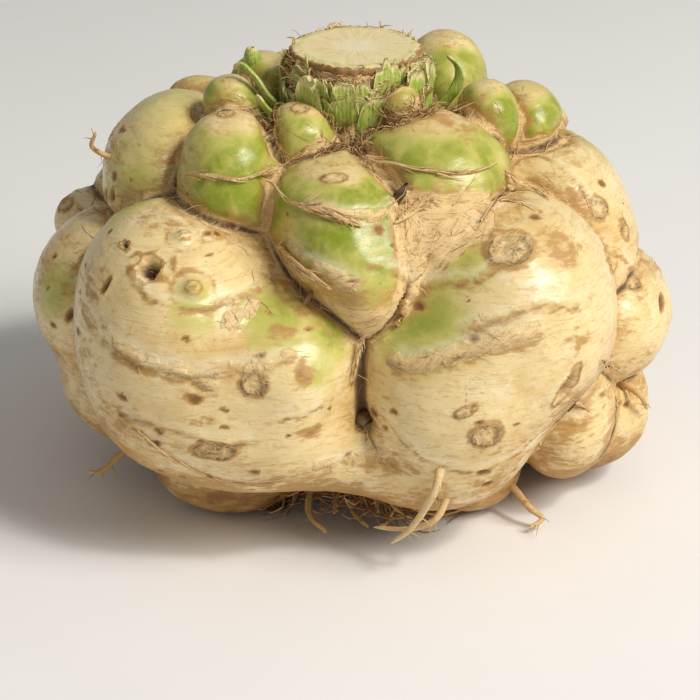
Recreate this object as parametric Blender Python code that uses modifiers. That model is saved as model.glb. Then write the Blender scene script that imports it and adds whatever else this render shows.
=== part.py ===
"""Celeriac root: one swollen, lobed corm with its cut crown, leaf-stalk stubs, rootlets and dry strands.

Frame: metres, +Z up, origin on the ground under the middle of the whole. The fullest pair of lobes
faces -Y. The corm is one solid, because it grew as one piece. The stalk stubs, buds, rootlets and dry
strands are pieces of their own, each held a fraction of a millimetre off the corm's skin.
"""
import math

import bmesh
import bpy
from mathutils import Matrix, Vector
from mathutils.bvhtree import BVHTree

MM = 0.001

# ---- driving dimensions, millimetres -----------------------------------------------------------
CROWN_CENTRE = (1.3, 0.0)     # the cut leaf base stands a little right of the middle
CROWN_TOP = 97.5              # height of the cut face
CROWN_TILT = 3.0              # the knife cut leans towards the front, degrees
CROWN_R_TOP = 13.0            # half the width of the cut face, which sets the scale of the whole
CROWN_R_BASE = 16.5
CROWN_Z_BASE = 68.0
FINE_VOXEL = 1.5              # size of the grid that fuses the lobes into one skin
FUSE_SMOOTHING = 5            # passes that soften the creases between the lobes
CORM_TRIANGLES = 8600
COLLAR_TRIANGLES = 15000
GAP = 0.45                    # how far the small pieces stand off the skin
ROOT_SIDES = 3                # bevel resolution of a round rootlet

# Lobes: centre x, y, z, then half-widths x, y, z. Lobes of one row swell into each other.
LOBES = {
    "front_left": ((-35.5, -26, 53, 21, 27, 19.5), (-29, -28, 36.5, 26.5, 30, 23),
                   (-11, -35, 44.5, 13.5, 23, 12.5), (-13, -30, 28, 18, 25, 13), (1, -32, 24, 12, 15, 8)),
    "front_right": ((33, -27, 56, 20.5, 27, 18), (21.5, -32, 38, 23, 27, 22),
                    (17.5, -28, 21.5, 17.5, 23, 14), (40, -24, 45, 14, 24, 12)),
    "right_fore": ((46, -15, 21.5, 12, 20.5, 16),),
    "left": ((-49, -2, 42, 21, 23, 20), (-46.5, -4, 24, 18.5, 23, 15.5)),
    "left_rear": ((-48, 24, 38, 20, 20, 21), (-40, 24, 17, 18, 20, 14.5)),
    "left_upper": ((-37.5, 6, 67, 17, 26, 17),),
    "right_upper": ((42.5, 2, 62.5, 16.5, 24, 14.5), (49, 0, 53, 14.5, 24, 15)),
    "right": ((53.5, -2, 38, 17.5, 22, 17), (51, 25, 35, 17.5, 20, 19)),
    "right_low": ((50, -5, 17, 17.5, 19, 15.5), (45, 21, 15, 17, 19, 13.8)),
    "back_left": ((-33, 30, 45, 26, 28, 24), (-30, 28, 23, 24, 26, 17)),
    "back_right": ((31, 33, 47, 26, 26, 24), (28, 31, 24, 24, 26, 18)),
    "back_middle": ((2, 42, 49, 17, 18, 17), (-3, 40, 27, 18.5, 17, 16)),
    "core": ((0, 2, 42, 54, 50, 32), (1, 2, 64, 38, 38, 21)),
}
# Feet: these three reach below the ground plane and are cut flat by it, so the corm stands still.
FEET = ((-26, -20, 12.2, 18, 16.5, 13.4), (26, -20, 10.5, 12, 14.5, 11.7), (0, 26, 12, 23, 18, 13.2))
# Knobs: the small green shoulders round the crown.
KNOBS = ((-24.5, -16, 78, 10.5, 14, 10), (-25, -18, 71.5, 12, 14.5, 7.5), (-10, -13, 81, 8, 9.5, 8.5),
         (-3, -27, 74, 13, 16, 8), (-1, -30, 65.5, 13, 19, 12.5), (3, -37, 60, 7, 13, 9),
         (17, -17, 79, 14.5, 15, 9), (17.5, -18, 76, 15.5, 16, 7.5), (10.5, -12, 87.5, 5, 6, 5.5),
         (29, -5, 83, 7, 10, 8.5), (38, 8, 77, 9, 12, 10), (21, 20, 84, 9.5, 14, 11),
         (-25, 0, 83, 7, 10, 8), (-19, 14, 84, 8, 12, 8), (-13, 27, 78, 11, 13, 10),
         (9, 31, 76, 11, 12, 10), (36, 24, 69, 13, 14, 12), (-34, 27, 70, 12, 13, 12))

# Leaf-stalk stubs: bearing round the crown (0 is the front, positive to the right), foot height,
# length, half-width, thickness, and how far the tip leans out from the crown.
STALKS = {
    "stalk_left_front": (-38, 77, 17.0, 3.6, 2.0, 2.0),
    "stalk_left": (-100, 77, 18.5, 3.8, 2.3, 1.8),
    "stalk_front": (-10, 81, 13.0, 3.0, 1.6, 1.0),
    "stalk_right_front": (50, 79, 16.0, 3.2, 2.0, 2.0),
    "stalk_right": (74, 77, 18.0, 3.0, 2.1, 2.2),
    "stalk_right_rear": (132, 78, 15.5, 3.4, 2.0, 2.2),
    "stalk_back": (175, 78, 15.0, 3.8, 2.1, 1.8),
    "stalk_left_rear": (-138, 78, 16.0, 3.6, 2.0, 2.2),
}
# Round pieces that grow out of the corm: path points, then the radius at the foot and at the tip.
# The first point lies inside the corm, and what is inside is cut away.
SHOOTS = {
    "shoot_curled": (((-13, -3, 82), (-17.5, -4, 87.5), (-20, -3.5, 91.5), (-22.5, -2.5, 94),
                      (-24.5, -2, 93)), 1.6, 0.7),
    "shoot_short": (((-12, -6, 79), (-17, -9, 85.5), (-19.5, -10.5, 90)), 1.7, 0.9),
    "shoot_looped": (((17, 3, 80), (22.5, 3, 87), (23, 3, 91.5), (20.5, 3, 94.5)), 1.5, 0.7),
    "bud_left": (((-20, 11, 87), (-21, 10.5, 92), (-21, 10.5, 94)), 2.2, 1.2),
}
ROOTLETS = {
    "rootlet_front_long": (((19, -52, 30), (17, -58, 23), (13, -56, 14), (8.5, -52, 7)), 1.1, 0.45),
    "rootlet_front_short": (((21, -48, 21), (18, -54.5, 15), (12.5, -52.5, 11), (5, -48, 8.5)), 0.9, 0.4),
    "rootlet_hollow_left": (((-7, -26, 12), (-9, -35, 5.5), (-5, -41, 3)), 0.9, 0.45),
    "rootlet_hollow_middle": (((1, -22, 12), (0, -32, 5), (4, -38, 2.6)), 1.0, 0.45),
    "rootlet_hollow_right": (((8, -22, 11), (10, -33, 4.6), (6, -40, 3.4)), 0.8, 0.4),
    "rootlet_hook": (((33, -26, 9), (38.5, -33, 5), (41.5, -34, 2.6), (38.5, -36.5, 1.7)), 0.9, 0.4),
    "rootlet_right_crease": (((57, -12, 26), (62.5, -20, 25.5), (65, -18.5, 21)), 0.8, 0.4),
    "rootlet_left_spur": (((-48, -22, 14), (-54, -25, 9.5), (-57, -25, 9)), 0.8, 0.4),
    "rootlet_left_edge": (((-48, -2, 72), (-54.5, -6, 77), (-53.5, -8, 81)), 0.7, 0.35),
    "rootlet_back_left": (((-12, 46, 14), (-15, 55, 7), (-11, 60, 3)), 1.0, 0.45),
    "rootlet_back_right": (((13, 46, 16), (15, 57, 9), (21, 60.5, 6)), 0.9, 0.4),
    "rootlet_base_rear": (((22, 22, 8), (25, 27, 2.4), (30, 30, 1.9)), 0.9, 0.45),
}
# Dry strands lie along the skin: bearing and elevation seen from the middle, then radius.
STRANDS = {
    "strand_upper": (((-15, 38), (-11, 37), (-6, 36.5), (-1, 34.5), (3, 33)), 0.8),
    "strand_lower": (((-21, 29), (-17, 27), (-13, 25), (-8, 22.5), (-4, 20)), 0.8),
}
MIDDLE = Vector((0, 0, 45))   # strands are aimed from here

# ---- finishes: colour, roughness, metallic -------------------------------------------------------
FINISHES = {
    "skin": ((0.78, 0.66, 0.42, 1), 0.55, 0.0),
    "stalk_green": ((0.42, 0.52, 0.12, 1), 0.45, 0.0),
    "rootlet_tan": ((0.55, 0.38, 0.18, 1), 0.8, 0.0),
    "dry_strand": ((0.62, 0.46, 0.25, 1), 0.85, 0.0),
}


def clear_scene():
    """Start from nothing."""
    for thing in list(bpy.data.objects):
        bpy.data.objects.remove(thing)


def finish(name):
    """The named finish, made once."""
    found = bpy.data.materials.get(name)
    if found:
        return found
    colour, roughness, metallic = FINISHES[name]
    made = bpy.data.materials.new(name)
    made.use_nodes = True
    shader = made.node_tree.nodes["Principled BSDF"]
    shader.inputs["Base Color"].default_value = colour
    shader.inputs["Roughness"].default_value = roughness
    shader.inputs["Metallic"].default_value = metallic
    made.diffuse_color = colour
    return made


def place(name, bm, collection, finish_name=None):
    """Turn a bmesh in millimetres into a named object in metres."""
    bmesh.ops.scale(bm, vec=(MM, MM, MM), verts=bm.verts)
    mesh = bpy.data.meshes.new(name)
    bm.to_mesh(mesh)
    bm.free()
    thing = bpy.data.objects.new(name, mesh)
    collection.objects.link(thing)
    if finish_name:
        mesh.materials.append(finish(finish_name))
    return thing


def bake(thing):
    """Replace an object's mesh by its evaluated one and drop its modifiers."""
    graph = bpy.context.evaluated_depsgraph_get()
    baked = bpy.data.meshes.new_from_object(thing.evaluated_get(graph))
    thing.modifiers.clear()
    thing.data = baked


def add_lobe(bm, lobe, grow):
    """One swelling of the corm."""
    x, y, z, rx, ry, rz = lobe
    shape = Matrix.Translation((x, y, z)) @ Matrix.Diagonal((rx + grow, ry + grow, rz + grow, 1))
    bmesh.ops.create_icosphere(bm, subdivisions=4, radius=1.0, matrix=shape)


def add_crown(bm, grow):
    """The tapered leaf base, left over-long so that the cut can trim it."""
    over = 4.0
    depth = CROWN_TOP + over - CROWN_Z_BASE
    per_mm = (CROWN_R_BASE - CROWN_R_TOP) / (CROWN_TOP - CROWN_Z_BASE)
    bmesh.ops.create_cone(
        bm, cap_ends=True, segments=48, radius1=CROWN_R_BASE + grow,
        radius2=CROWN_R_TOP - per_mm * over + grow, depth=depth,
        matrix=Matrix.Translation((*CROWN_CENTRE, CROWN_Z_BASE + depth / 2)))


def cut_flat(bm, point, normal):
    """Slice off what lies beyond a plane and close the cut."""
    geometry = bm.verts[:] + bm.edges[:] + bm.faces[:]
    bmesh.ops.bisect_plane(bm, geom=geometry, dist=1e-4, plane_co=point, plane_no=normal,
                           clear_outer=True)
    rim = [edge for edge in bm.edges if edge.is_boundary]
    bmesh.ops.holes_fill(bm, edges=rim, sides=0)
    bmesh.ops.recalc_face_normals(bm, faces=bm.faces)


def fused_corm(name, grow, triangles, collection):
    """All lobes, feet, knobs and the crown fused into one skin, then trimmed by the two flat cuts."""
    bm = bmesh.new()
    for lobes in (*LOBES.values(), FEET, KNOBS):
        for lobe in lobes:
            add_lobe(bm, lobe, grow)
    add_crown(bm, grow)
    corm = place(name, bm, collection)

    fuse = corm.modifiers.new("fuse", 'REMESH')
    fuse.mode = 'VOXEL'
    fuse.voxel_size = FINE_VOXEL * MM
    soften = corm.modifiers.new("soften", 'SMOOTH')
    soften.factor = 0.5
    soften.iterations = FUSE_SMOOTHING
    bake(corm)

    thin = corm.modifiers.new("thin", 'DECIMATE')
    corm.data.calc_loop_triangles()
    thin.ratio = triangles / len(corm.data.loop_triangles)
    bake(corm)

    bm = bmesh.new()
    bm.from_mesh(corm.data)
    bmesh.ops.scale(bm, vec=(1 / MM, 1 / MM, 1 / MM), verts=bm.verts)
    lean = math.radians(CROWN_TILT)
    cut_flat(bm, (*CROWN_CENTRE, CROWN_TOP + grow), (0, -math.sin(lean), math.cos(lean)))
    cut_flat(bm, (0, 0, -grow), (0, 0, -1))
    bmesh.ops.triangulate(bm, faces=[face for face in bm.faces if len(face.verts) > 4])
    bmesh.ops.scale(bm, vec=(MM, MM, MM), verts=bm.verts)
    bm.to_mesh(corm.data)
    bm.free()
    return corm


def largest_island(bm):
    """Delete every loose part of a bmesh but the largest, by number of faces."""
    seen, islands = set(), []
    for first in bm.faces:
        if first in seen:
            continue
        island, queue = [], [first]
        seen.add(first)
        while queue:
            face = queue.pop()
            island.append(face)
            for edge in face.edges:
                for near in edge.link_faces:
                    if near not in seen:
                        seen.add(near)
                        queue.append(near)
        islands.append(island)
    islands.sort(key=len, reverse=True)
    for island in islands[1:]:
        bmesh.ops.delete(bm, geom=island, context='FACES')


def seat(thing, collar):
    """Cut away what lies inside the collar, so that the piece stands just off the skin."""
    trim = thing.modifiers.new("seat", 'BOOLEAN')
    trim.operation = 'DIFFERENCE'
    trim.solver = 'EXACT'
    trim.object = collar
    bake(thing)
    bm = bmesh.new()
    bm.from_mesh(thing.data)
    largest_island(bm)
    bmesh.ops.remove_doubles(bm, verts=bm.verts, dist=2e-6)
    bmesh.ops.recalc_face_normals(bm, faces=bm.faces)
    bm.to_mesh(thing.data)
    bm.free()


def tube(name, points, radii, finish_name, collection):
    """A round, tapered, closed tube along a smooth path through the points."""
    curve = bpy.data.curves.new(name, 'CURVE')
    curve.dimensions = '3D'
    curve.resolution_u = 4
    curve.bevel_depth = MM
    curve.bevel_resolution = ROOT_SIDES - 2
    curve.use_fill_caps = True
    spline = curve.splines.new('BEZIER')
    spline.bezier_points.add(len(points) - 1)
    for knot, point, radius in zip(spline.bezier_points, points, radii):
        knot.co = Vector(point) * MM
        knot.radius = radius
        knot.handle_left_type = knot.handle_right_type = 'AUTO'
    sweep = bpy.data.objects.new(name + "_path", curve)
    collection.objects.link(sweep)
    graph = bpy.context.evaluated_depsgraph_get()
    mesh = bpy.data.meshes.new_from_object(sweep.evaluated_get(graph))
    bpy.data.objects.remove(sweep)

    bm = bmesh.new()
    bm.from_mesh(mesh)
    bmesh.ops.remove_doubles(bm, verts=bm.verts, dist=1e-6)
    bmesh.ops.recalc_face_normals(bm, faces=bm.faces)
    bmesh.ops.scale(bm, vec=(1 / MM, 1 / MM, 1 / MM), verts=bm.verts)
    return place(name, bm, collection, finish_name)


def tapered(count, first, last):
    """Evenly stepped radii from the foot to the tip."""
    return [first + (last - first) * step / (count - 1) for step in range(count)]


def stalk(name, spec, collection):
    """A leaf-stalk stub: a crescent section, hollow side to the crown, drawn up and leaning out."""
    bearing, foot_z, length, half_width, thickness, lean = spec
    turn = math.radians(bearing)
    outward = Vector((math.sin(turn), -math.cos(turn), 0))
    across = Vector((math.cos(turn), math.sin(turn), 0))
    steps = 5

    def section(step):
        """Where the section sits, how it is turned and how wide it is at this step."""
        along = step / steps
        taper = (CROWN_R_BASE - CROWN_R_TOP) / (CROWN_TOP - CROWN_Z_BASE)
        height = foot_z + length * along
        radius = CROWN_R_BASE - taper * (height - CROWN_Z_BASE) + 0.2 + lean * along ** 2
        middle = Vector((*CROWN_CENTRE, height)) + outward * radius
        wide = half_width * (1 - 0.35 * along)
        thick = thickness * (1 - 0.3 * along)
        axes = Matrix((across * wide, outward * thick, Vector((0, 0, 1)))).transposed().to_4x4()
        return Matrix.Translation(middle) @ axes

    bm = bmesh.new()
    ring = bmesh.ops.create_circle(bm, cap_ends=True, segments=16, radius=1.0)["verts"]
    for vert in ring:
        if vert.co.y < -1e-4:
            vert.co.y = 0.4 * (1 - vert.co.x ** 2) - 0.02
    bmesh.ops.transform(bm, matrix=section(0), verts=ring)
    cap = bm.faces[:] + bm.edges[:] + bm.verts[:]
    for step in range(1, steps + 1):
        cap = bmesh.ops.extrude_face_region(bm, geom=cap)["geom"]
        verts = [item for item in cap if isinstance(item, bmesh.types.BMVert)]
        bmesh.ops.transform(bm, matrix=section(step) @ section(step - 1).inverted(), verts=verts)
    bmesh.ops.recalc_face_normals(bm, faces=bm.faces)
    return place(name, bm, collection, "stalk_green")


def strand(name, bearings, radius, skin, collection):
    """A dry strand that follows the skin, its path found by aiming at the skin from outside."""
    points = []
    for bearing, elevation in bearings:
        turn, rise = math.radians(bearing), math.radians(elevation)
        aim = Vector((math.sin(turn) * math.cos(rise), -math.cos(turn) * math.cos(rise), math.sin(rise)))
        hit, normal, _, _ = skin.ray_cast((MIDDLE + aim * 120) * MM, -aim)
        points.append(hit / MM + normal * (radius + GAP + 0.35))
    radii = [radius * 0.45] + [radius] * (len(points) - 2) + [radius * 0.4]
    return tube(name, points, radii, "dry_strand", collection)


def centre_on_origin(things):
    """Move every mesh so that the origin is on the ground under the middle of the whole."""
    corners = [vert.co for thing in things for vert in thing.data.vertices]
    low = Vector([min(co[axis] for co in corners) for axis in range(3)])
    high = Vector([max(co[axis] for co in corners) for axis in range(3)])
    shift = Matrix.Translation((-(low.x + high.x) / 2, -(low.y + high.y) / 2, -low.z))
    for thing in things:
        thing.data.transform(shift)


def build():
    """Build every piece."""
    clear_scene()
    home = bpy.data.collections.new("celeriac_root")
    bpy.context.scene.collection.children.link(home)

    corm = fused_corm("corm", 0.0, CORM_TRIANGLES, home)
    corm.data.materials.clear()
    corm.data.materials.append(finish("skin"))
    collar = fused_corm("collar", GAP, COLLAR_TRIANGLES, home)
    graph = bpy.context.evaluated_depsgraph_get()
    skin = BVHTree.FromObject(collar, graph)

    pieces = [corm]
    for name, spec in STALKS.items():
        pieces.append(stalk(name, spec, home))
        seat(pieces[-1], collar)
    for finish_name, group in (("stalk_green", SHOOTS), ("rootlet_tan", ROOTLETS)):
        for name, (points, foot, tip) in group.items():
            pieces.append(tube(name, points, tapered(len(points), foot, tip), finish_name, home))
            seat(pieces[-1], collar)
    for name, (bearings, radius) in STRANDS.items():
        pieces.append(strand(name, bearings, radius, skin, home))
    bpy.data.objects.remove(collar)
    centre_on_origin(pieces)


build()
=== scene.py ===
"""Visual model of a celeriac root: the lobed corm, its cut crown, leaf bases, shoots, rootlets and fibres.

Lengths in the tables are millimetres in the maker's own frame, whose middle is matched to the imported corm.
"""
import logging
import math
from dataclasses import dataclass, field
from enum import Enum
from typing import Iterable, Iterator, Sequence

import bmesh
import bpy
import numpy as np
from mathutils import Matrix, Vector
from mathutils.kdtree import KDTree


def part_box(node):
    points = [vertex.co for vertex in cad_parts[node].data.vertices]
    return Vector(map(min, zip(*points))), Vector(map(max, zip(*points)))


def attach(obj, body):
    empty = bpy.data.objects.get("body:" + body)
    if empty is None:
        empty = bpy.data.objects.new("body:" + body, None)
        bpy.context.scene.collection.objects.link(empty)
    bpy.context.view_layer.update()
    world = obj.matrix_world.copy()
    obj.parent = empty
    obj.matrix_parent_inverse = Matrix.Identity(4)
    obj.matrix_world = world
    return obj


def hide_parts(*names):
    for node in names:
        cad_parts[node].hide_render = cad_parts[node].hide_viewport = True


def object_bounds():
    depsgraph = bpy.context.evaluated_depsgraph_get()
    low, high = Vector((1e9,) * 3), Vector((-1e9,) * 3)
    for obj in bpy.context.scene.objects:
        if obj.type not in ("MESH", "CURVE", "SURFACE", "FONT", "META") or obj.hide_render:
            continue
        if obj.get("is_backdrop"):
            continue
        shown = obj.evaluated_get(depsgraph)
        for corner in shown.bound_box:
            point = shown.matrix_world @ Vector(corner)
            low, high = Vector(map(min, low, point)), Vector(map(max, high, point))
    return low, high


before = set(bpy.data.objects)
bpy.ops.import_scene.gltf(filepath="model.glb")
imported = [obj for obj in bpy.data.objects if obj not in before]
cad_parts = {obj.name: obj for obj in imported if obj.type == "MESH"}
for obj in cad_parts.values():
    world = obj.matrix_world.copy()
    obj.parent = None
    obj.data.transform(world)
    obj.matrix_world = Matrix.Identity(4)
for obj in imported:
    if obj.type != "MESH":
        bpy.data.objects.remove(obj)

CAD_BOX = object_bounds()
MM = 0.001
LOG = logging.getLogger("celeriac")
Array = np.ndarray
Triple = tuple[float, float, float]
Bearing = tuple[float, float]
Spot = tuple[Array, Array]
Colour = tuple[float, float, float]
Span = tuple[float, float]
Material = bpy.types.Material
Socket = bpy.types.NodeSocket


# ---- small helpers -------------------------------------------------------------------------------
def smoothstep(low: float, high: float, value: Array) -> Array:
    """Ramp smoothly from 0 at low to 1 at high; low may be the larger."""
    t = np.clip((value - low) / (high - low), 0.0, 1.0)
    return t * t * (3.0 - 2.0 * t)


def bell(value: Array, width: float) -> Array:
    """A soft hump, 1 at zero and falling off over the width."""
    return np.exp(-(value / width) ** 2)


def unit(vectors: Array) -> Array:
    """Rows scaled to length one."""
    return vectors / np.maximum(np.linalg.norm(vectors, axis=-1, keepdims=True), 1e-9)


def smooth_min(a: Array, b: Array, blend: float) -> Array:
    """The smaller of two distances, rounded over where they are close."""
    near = np.maximum(blend - np.abs(a - b), 0.0) / blend
    return np.minimum(a, b) - near * near * blend * 0.25


def aim(bearing: Array | float, elevation: Array | float) -> Array:
    """Unit vectors for bearings (0 is the front, positive to the right) and elevations, in degrees."""
    turn, rise = np.radians(bearing), np.radians(elevation)
    return np.stack([np.sin(turn) * np.cos(rise), -np.cos(turn) * np.cos(rise), np.sin(rise)], -1)


class Grain:
    """Smooth, repeatable noise in space, from hashed values on the corners of a lattice."""

    TABLE_SIZE = 8192
    PRIMES = np.array([73856093, 19349663, 83492791])
    OCTAVE_SHIFT = 17.3

    def __init__(self, seed: int) -> None:
        """Draw the table of corner values for a seed."""
        self.table = (np.random.default_rng(seed).random(self.TABLE_SIZE) * 2 - 1).astype(np.float32)

    def at(self, points: Array, size: float) -> Array:
        """Noise between -1 and 1 at each point.

        Args:
            points: positions, millimetres.
            size: the width of one lattice cell, millimetres.

        Returns:
            One value per point.
        """
        scaled = points / size
        cell = np.floor(scaled).astype(np.int64)
        t = (scaled - cell).astype(np.float32)
        t = t * t * (3 - 2 * t)
        total = np.zeros(len(points), np.float32)
        for corner in range(8):
            step = np.array([corner & 1, corner >> 1 & 1, corner >> 2 & 1])
            key = (cell + step) * self.PRIMES
            value = self.table[(key[:, 0] ^ key[:, 1] ^ key[:, 2]) & (self.TABLE_SIZE - 1)]
            share = np.where(step, t, 1 - t).prod(axis=1)
            total += value * share
        return total

    def layered(self, points: Array, size: float, layers: int = 3) -> Array:
        """Several octaves of noise added together, each half the size and strength of the last."""
        total, strength = np.zeros(len(points), np.float32), 1.0
        for layer in range(layers):
            total += strength * self.at(points + self.OCTAVE_SHIFT * layer, size / 2 ** layer)
            strength *= 0.5
        return total / (2 - 2 * strength)


# ---- the corm's shape ----------------------------------------------------------------------------
class Tone(Enum):
    """How green a swelling's own skin is."""

    BARE = 0.0
    TINGED = 0.35
    GREEN = 1.0
    FIBROUS = -1.0


@dataclass(frozen=True)
class Swelling:
    """A lobe or knob of the corm: ellipsoids that flow into each other."""

    name: str
    lobes: tuple[tuple[float, float, float, float, float, float], ...]
    tone: Tone = Tone.BARE
    blend: float = 5.0
    join: float = 1.9

    def distance(self, points: Array) -> Array:
        """Signed distance from each point to this swelling, negative inside."""
        total = None
        for x, y, z, rx, ry, rz in self.lobes:
            offset = points - np.array([x, y, z], np.float32)
            radii = np.array([rx, ry, rz], np.float32)
            outward = np.linalg.norm(offset / radii, axis=1)
            slope = np.linalg.norm(offset / (radii * radii), axis=1)
            one = outward * (outward - 1) / np.maximum(slope, 1e-9)
            total = one if total is None else smooth_min(total, one, self.blend)
        return total


@dataclass(frozen=True)
class Stump:
    """The crown's cut stump: a tapered round with a slightly leaning cut."""

    centre: tuple[float, float] = (1.3, 0.0)
    top: float = 97.0
    base: float = 68.0
    r_top: float = 13.0
    r_base: float = 16.5
    tilt: float = 3.0
    buried: float = 6.0

    def radius_at(self, height: Array | float) -> Array | float:
        """The stump's radius at a height."""
        along = np.clip((np.asarray(height) - self.base) / (self.top - self.base), 0, 1)
        return self.r_base + (self.r_top - self.r_base) * along

    def out_from_axis(self, points: Array) -> Array:
        """How far each point is from the stump's upright axis."""
        return np.hypot(points[:, 0] - self.centre[0], points[:, 1] - self.centre[1])

    def cut_height(self, y: Array | float) -> Array | float:
        """The height of the leaning cut over a y position."""
        return self.top + (y - self.centre[1]) * math.tan(math.radians(self.tilt))

    def distance(self, points: Array) -> Array:
        """Signed distance from each point to the stump, negative inside."""
        side = self.out_from_axis(points) - self.radius_at(points[:, 2])
        height = points[:, 2]
        ends = np.maximum(height - self.cut_height(points[:, 1]), self.base - self.buried - height)
        return np.minimum(np.maximum(side, ends), 0) + np.hypot(np.maximum(side, 0), np.maximum(ends, 0))


CORE = Swelling("core", ((0, 2, 42, 54, 50, 32), (1, 2, 64, 38, 38, 21)), blend=10)
SWELLINGS: tuple[Swelling, ...] = (
    Swelling("front_left", ((-35.5, -26, 53, 21, 27, 19.5), (-29, -28, 36.5, 26.5, 30, 23),
                            (-11, -35, 44.5, 13.5, 23, 12.5), (-13, -30, 28, 18, 25, 13),
                            (1, -32, 24, 12, 15, 8)), blend=12),
    Swelling("front_right", ((33, -27, 56, 20.5, 27, 18), (21.5, -32, 38, 23, 27, 22),
                             (17.5, -28, 21.5, 17.5, 23, 14), (40, -24, 45, 14, 24, 12)), blend=12),
    Swelling("right_fore", ((46, -15, 21.5, 12, 20.5, 16),), join=4.5),
    Swelling("left", ((-49, -2, 42, 21, 23, 20), (-46.5, -4, 24, 18.5, 23, 15.5)), join=2.5),
    Swelling("left_rear", ((-48, 24, 38, 20, 20, 21), (-40, 24, 17, 18, 20, 14.5)), join=4),
    Swelling("left_upper", ((-37.5, 6, 67, 17, 26, 17),), Tone.TINGED),
    Swelling("right_upper", ((42.5, 2, 62.5, 16.5, 24, 14.5), (49, 0, 53, 14.5, 24, 15))),
    Swelling("right", ((53.5, -2, 38, 17.5, 22, 17),), join=2.5),
    Swelling("right_rear", ((51, 25, 35, 17.5, 20, 19),), join=4),
    Swelling("right_low", ((50, -5, 17, 17.5, 19, 15.5),), join=3),
    Swelling("right_low_rear", ((45, 21, 15, 17, 19, 13.8),), join=4),
    Swelling("back_left", ((-33, 30, 45, 26, 28, 24), (-30, 28, 23, 24, 26, 17)), join=2.5),
    Swelling("back_right", ((31, 33, 47, 26, 26, 24), (28, 31, 24, 24, 26, 18)), join=2.5),
    Swelling("back_middle", ((2, 42, 49, 17, 18, 17), (-3, 40, 27, 18.5, 17, 16)), join=3),
    Swelling("foot_left", ((-26, -20, 12.2, 18, 16.5, 13.4),)),
    Swelling("foot_right", ((26, -20, 10.5, 12, 14.5, 11.7),)),
    Swelling("foot_back", ((0, 26, 12, 23, 18, 13.2),)),
    Swelling("knob_left", ((-24.5, -16, 78, 10.5, 14, 10), (-25, -18, 71.5, 12, 14.5, 7.5)), Tone.GREEN),
    Swelling("knob_small", ((-10, -13, 81, 8, 9.5, 8.5),), Tone.GREEN),
    Swelling("knob_middle", ((-3, -27, 74, 13, 16, 8), (-1, -30, 65.5, 13, 19, 12.5),
                             (3, -37, 60, 7, 13, 9)), Tone.GREEN, join=3.5),
    Swelling("knob_wide", ((17, -17, 79, 14.5, 15, 9), (17.5, -18, 76, 15.5, 16, 7.5)), Tone.GREEN, join=3),
    Swelling("web", ((11, -27.5, 64, 10.5, 14, 9), (19.5, -27.5, 68.5, 13.5, 13, 6.5),
                     (5, -33.5, 55.5, 6, 12, 8)), Tone.FIBROUS, 8, 8),
    Swelling("knob_tiny", ((10.5, -12, 87.5, 5, 6, 5.5),), Tone.GREEN),
    Swelling("knob_right", ((29, -5, 83, 7, 10, 8.5),), Tone.GREEN),
    Swelling("knob_far_right", ((38, 8, 77, 9, 12, 10),), Tone.GREEN),
    Swelling("knob_behind", ((21, 20, 84, 9.5, 14, 11),), Tone.GREEN),
    Swelling("knob_far_left", ((-25, 0, 83, 7, 10, 8),), Tone.GREEN),
    Swelling("knob_rear_left", ((-19, 14, 84, 8, 12, 8),), Tone.GREEN),
    Swelling("knob_back_left", ((-13, 27, 78, 11, 13, 10),), Tone.GREEN),
    Swelling("knob_back_right", ((9, 31, 76, 11, 12, 10),), Tone.GREEN),
    Swelling("knob_rear_right", ((36, 24, 69, 13, 14, 12),), Tone.TINGED),
    Swelling("knob_rear_low", ((-34, 27, 70, 12, 13, 12),), Tone.TINGED),
)


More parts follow.
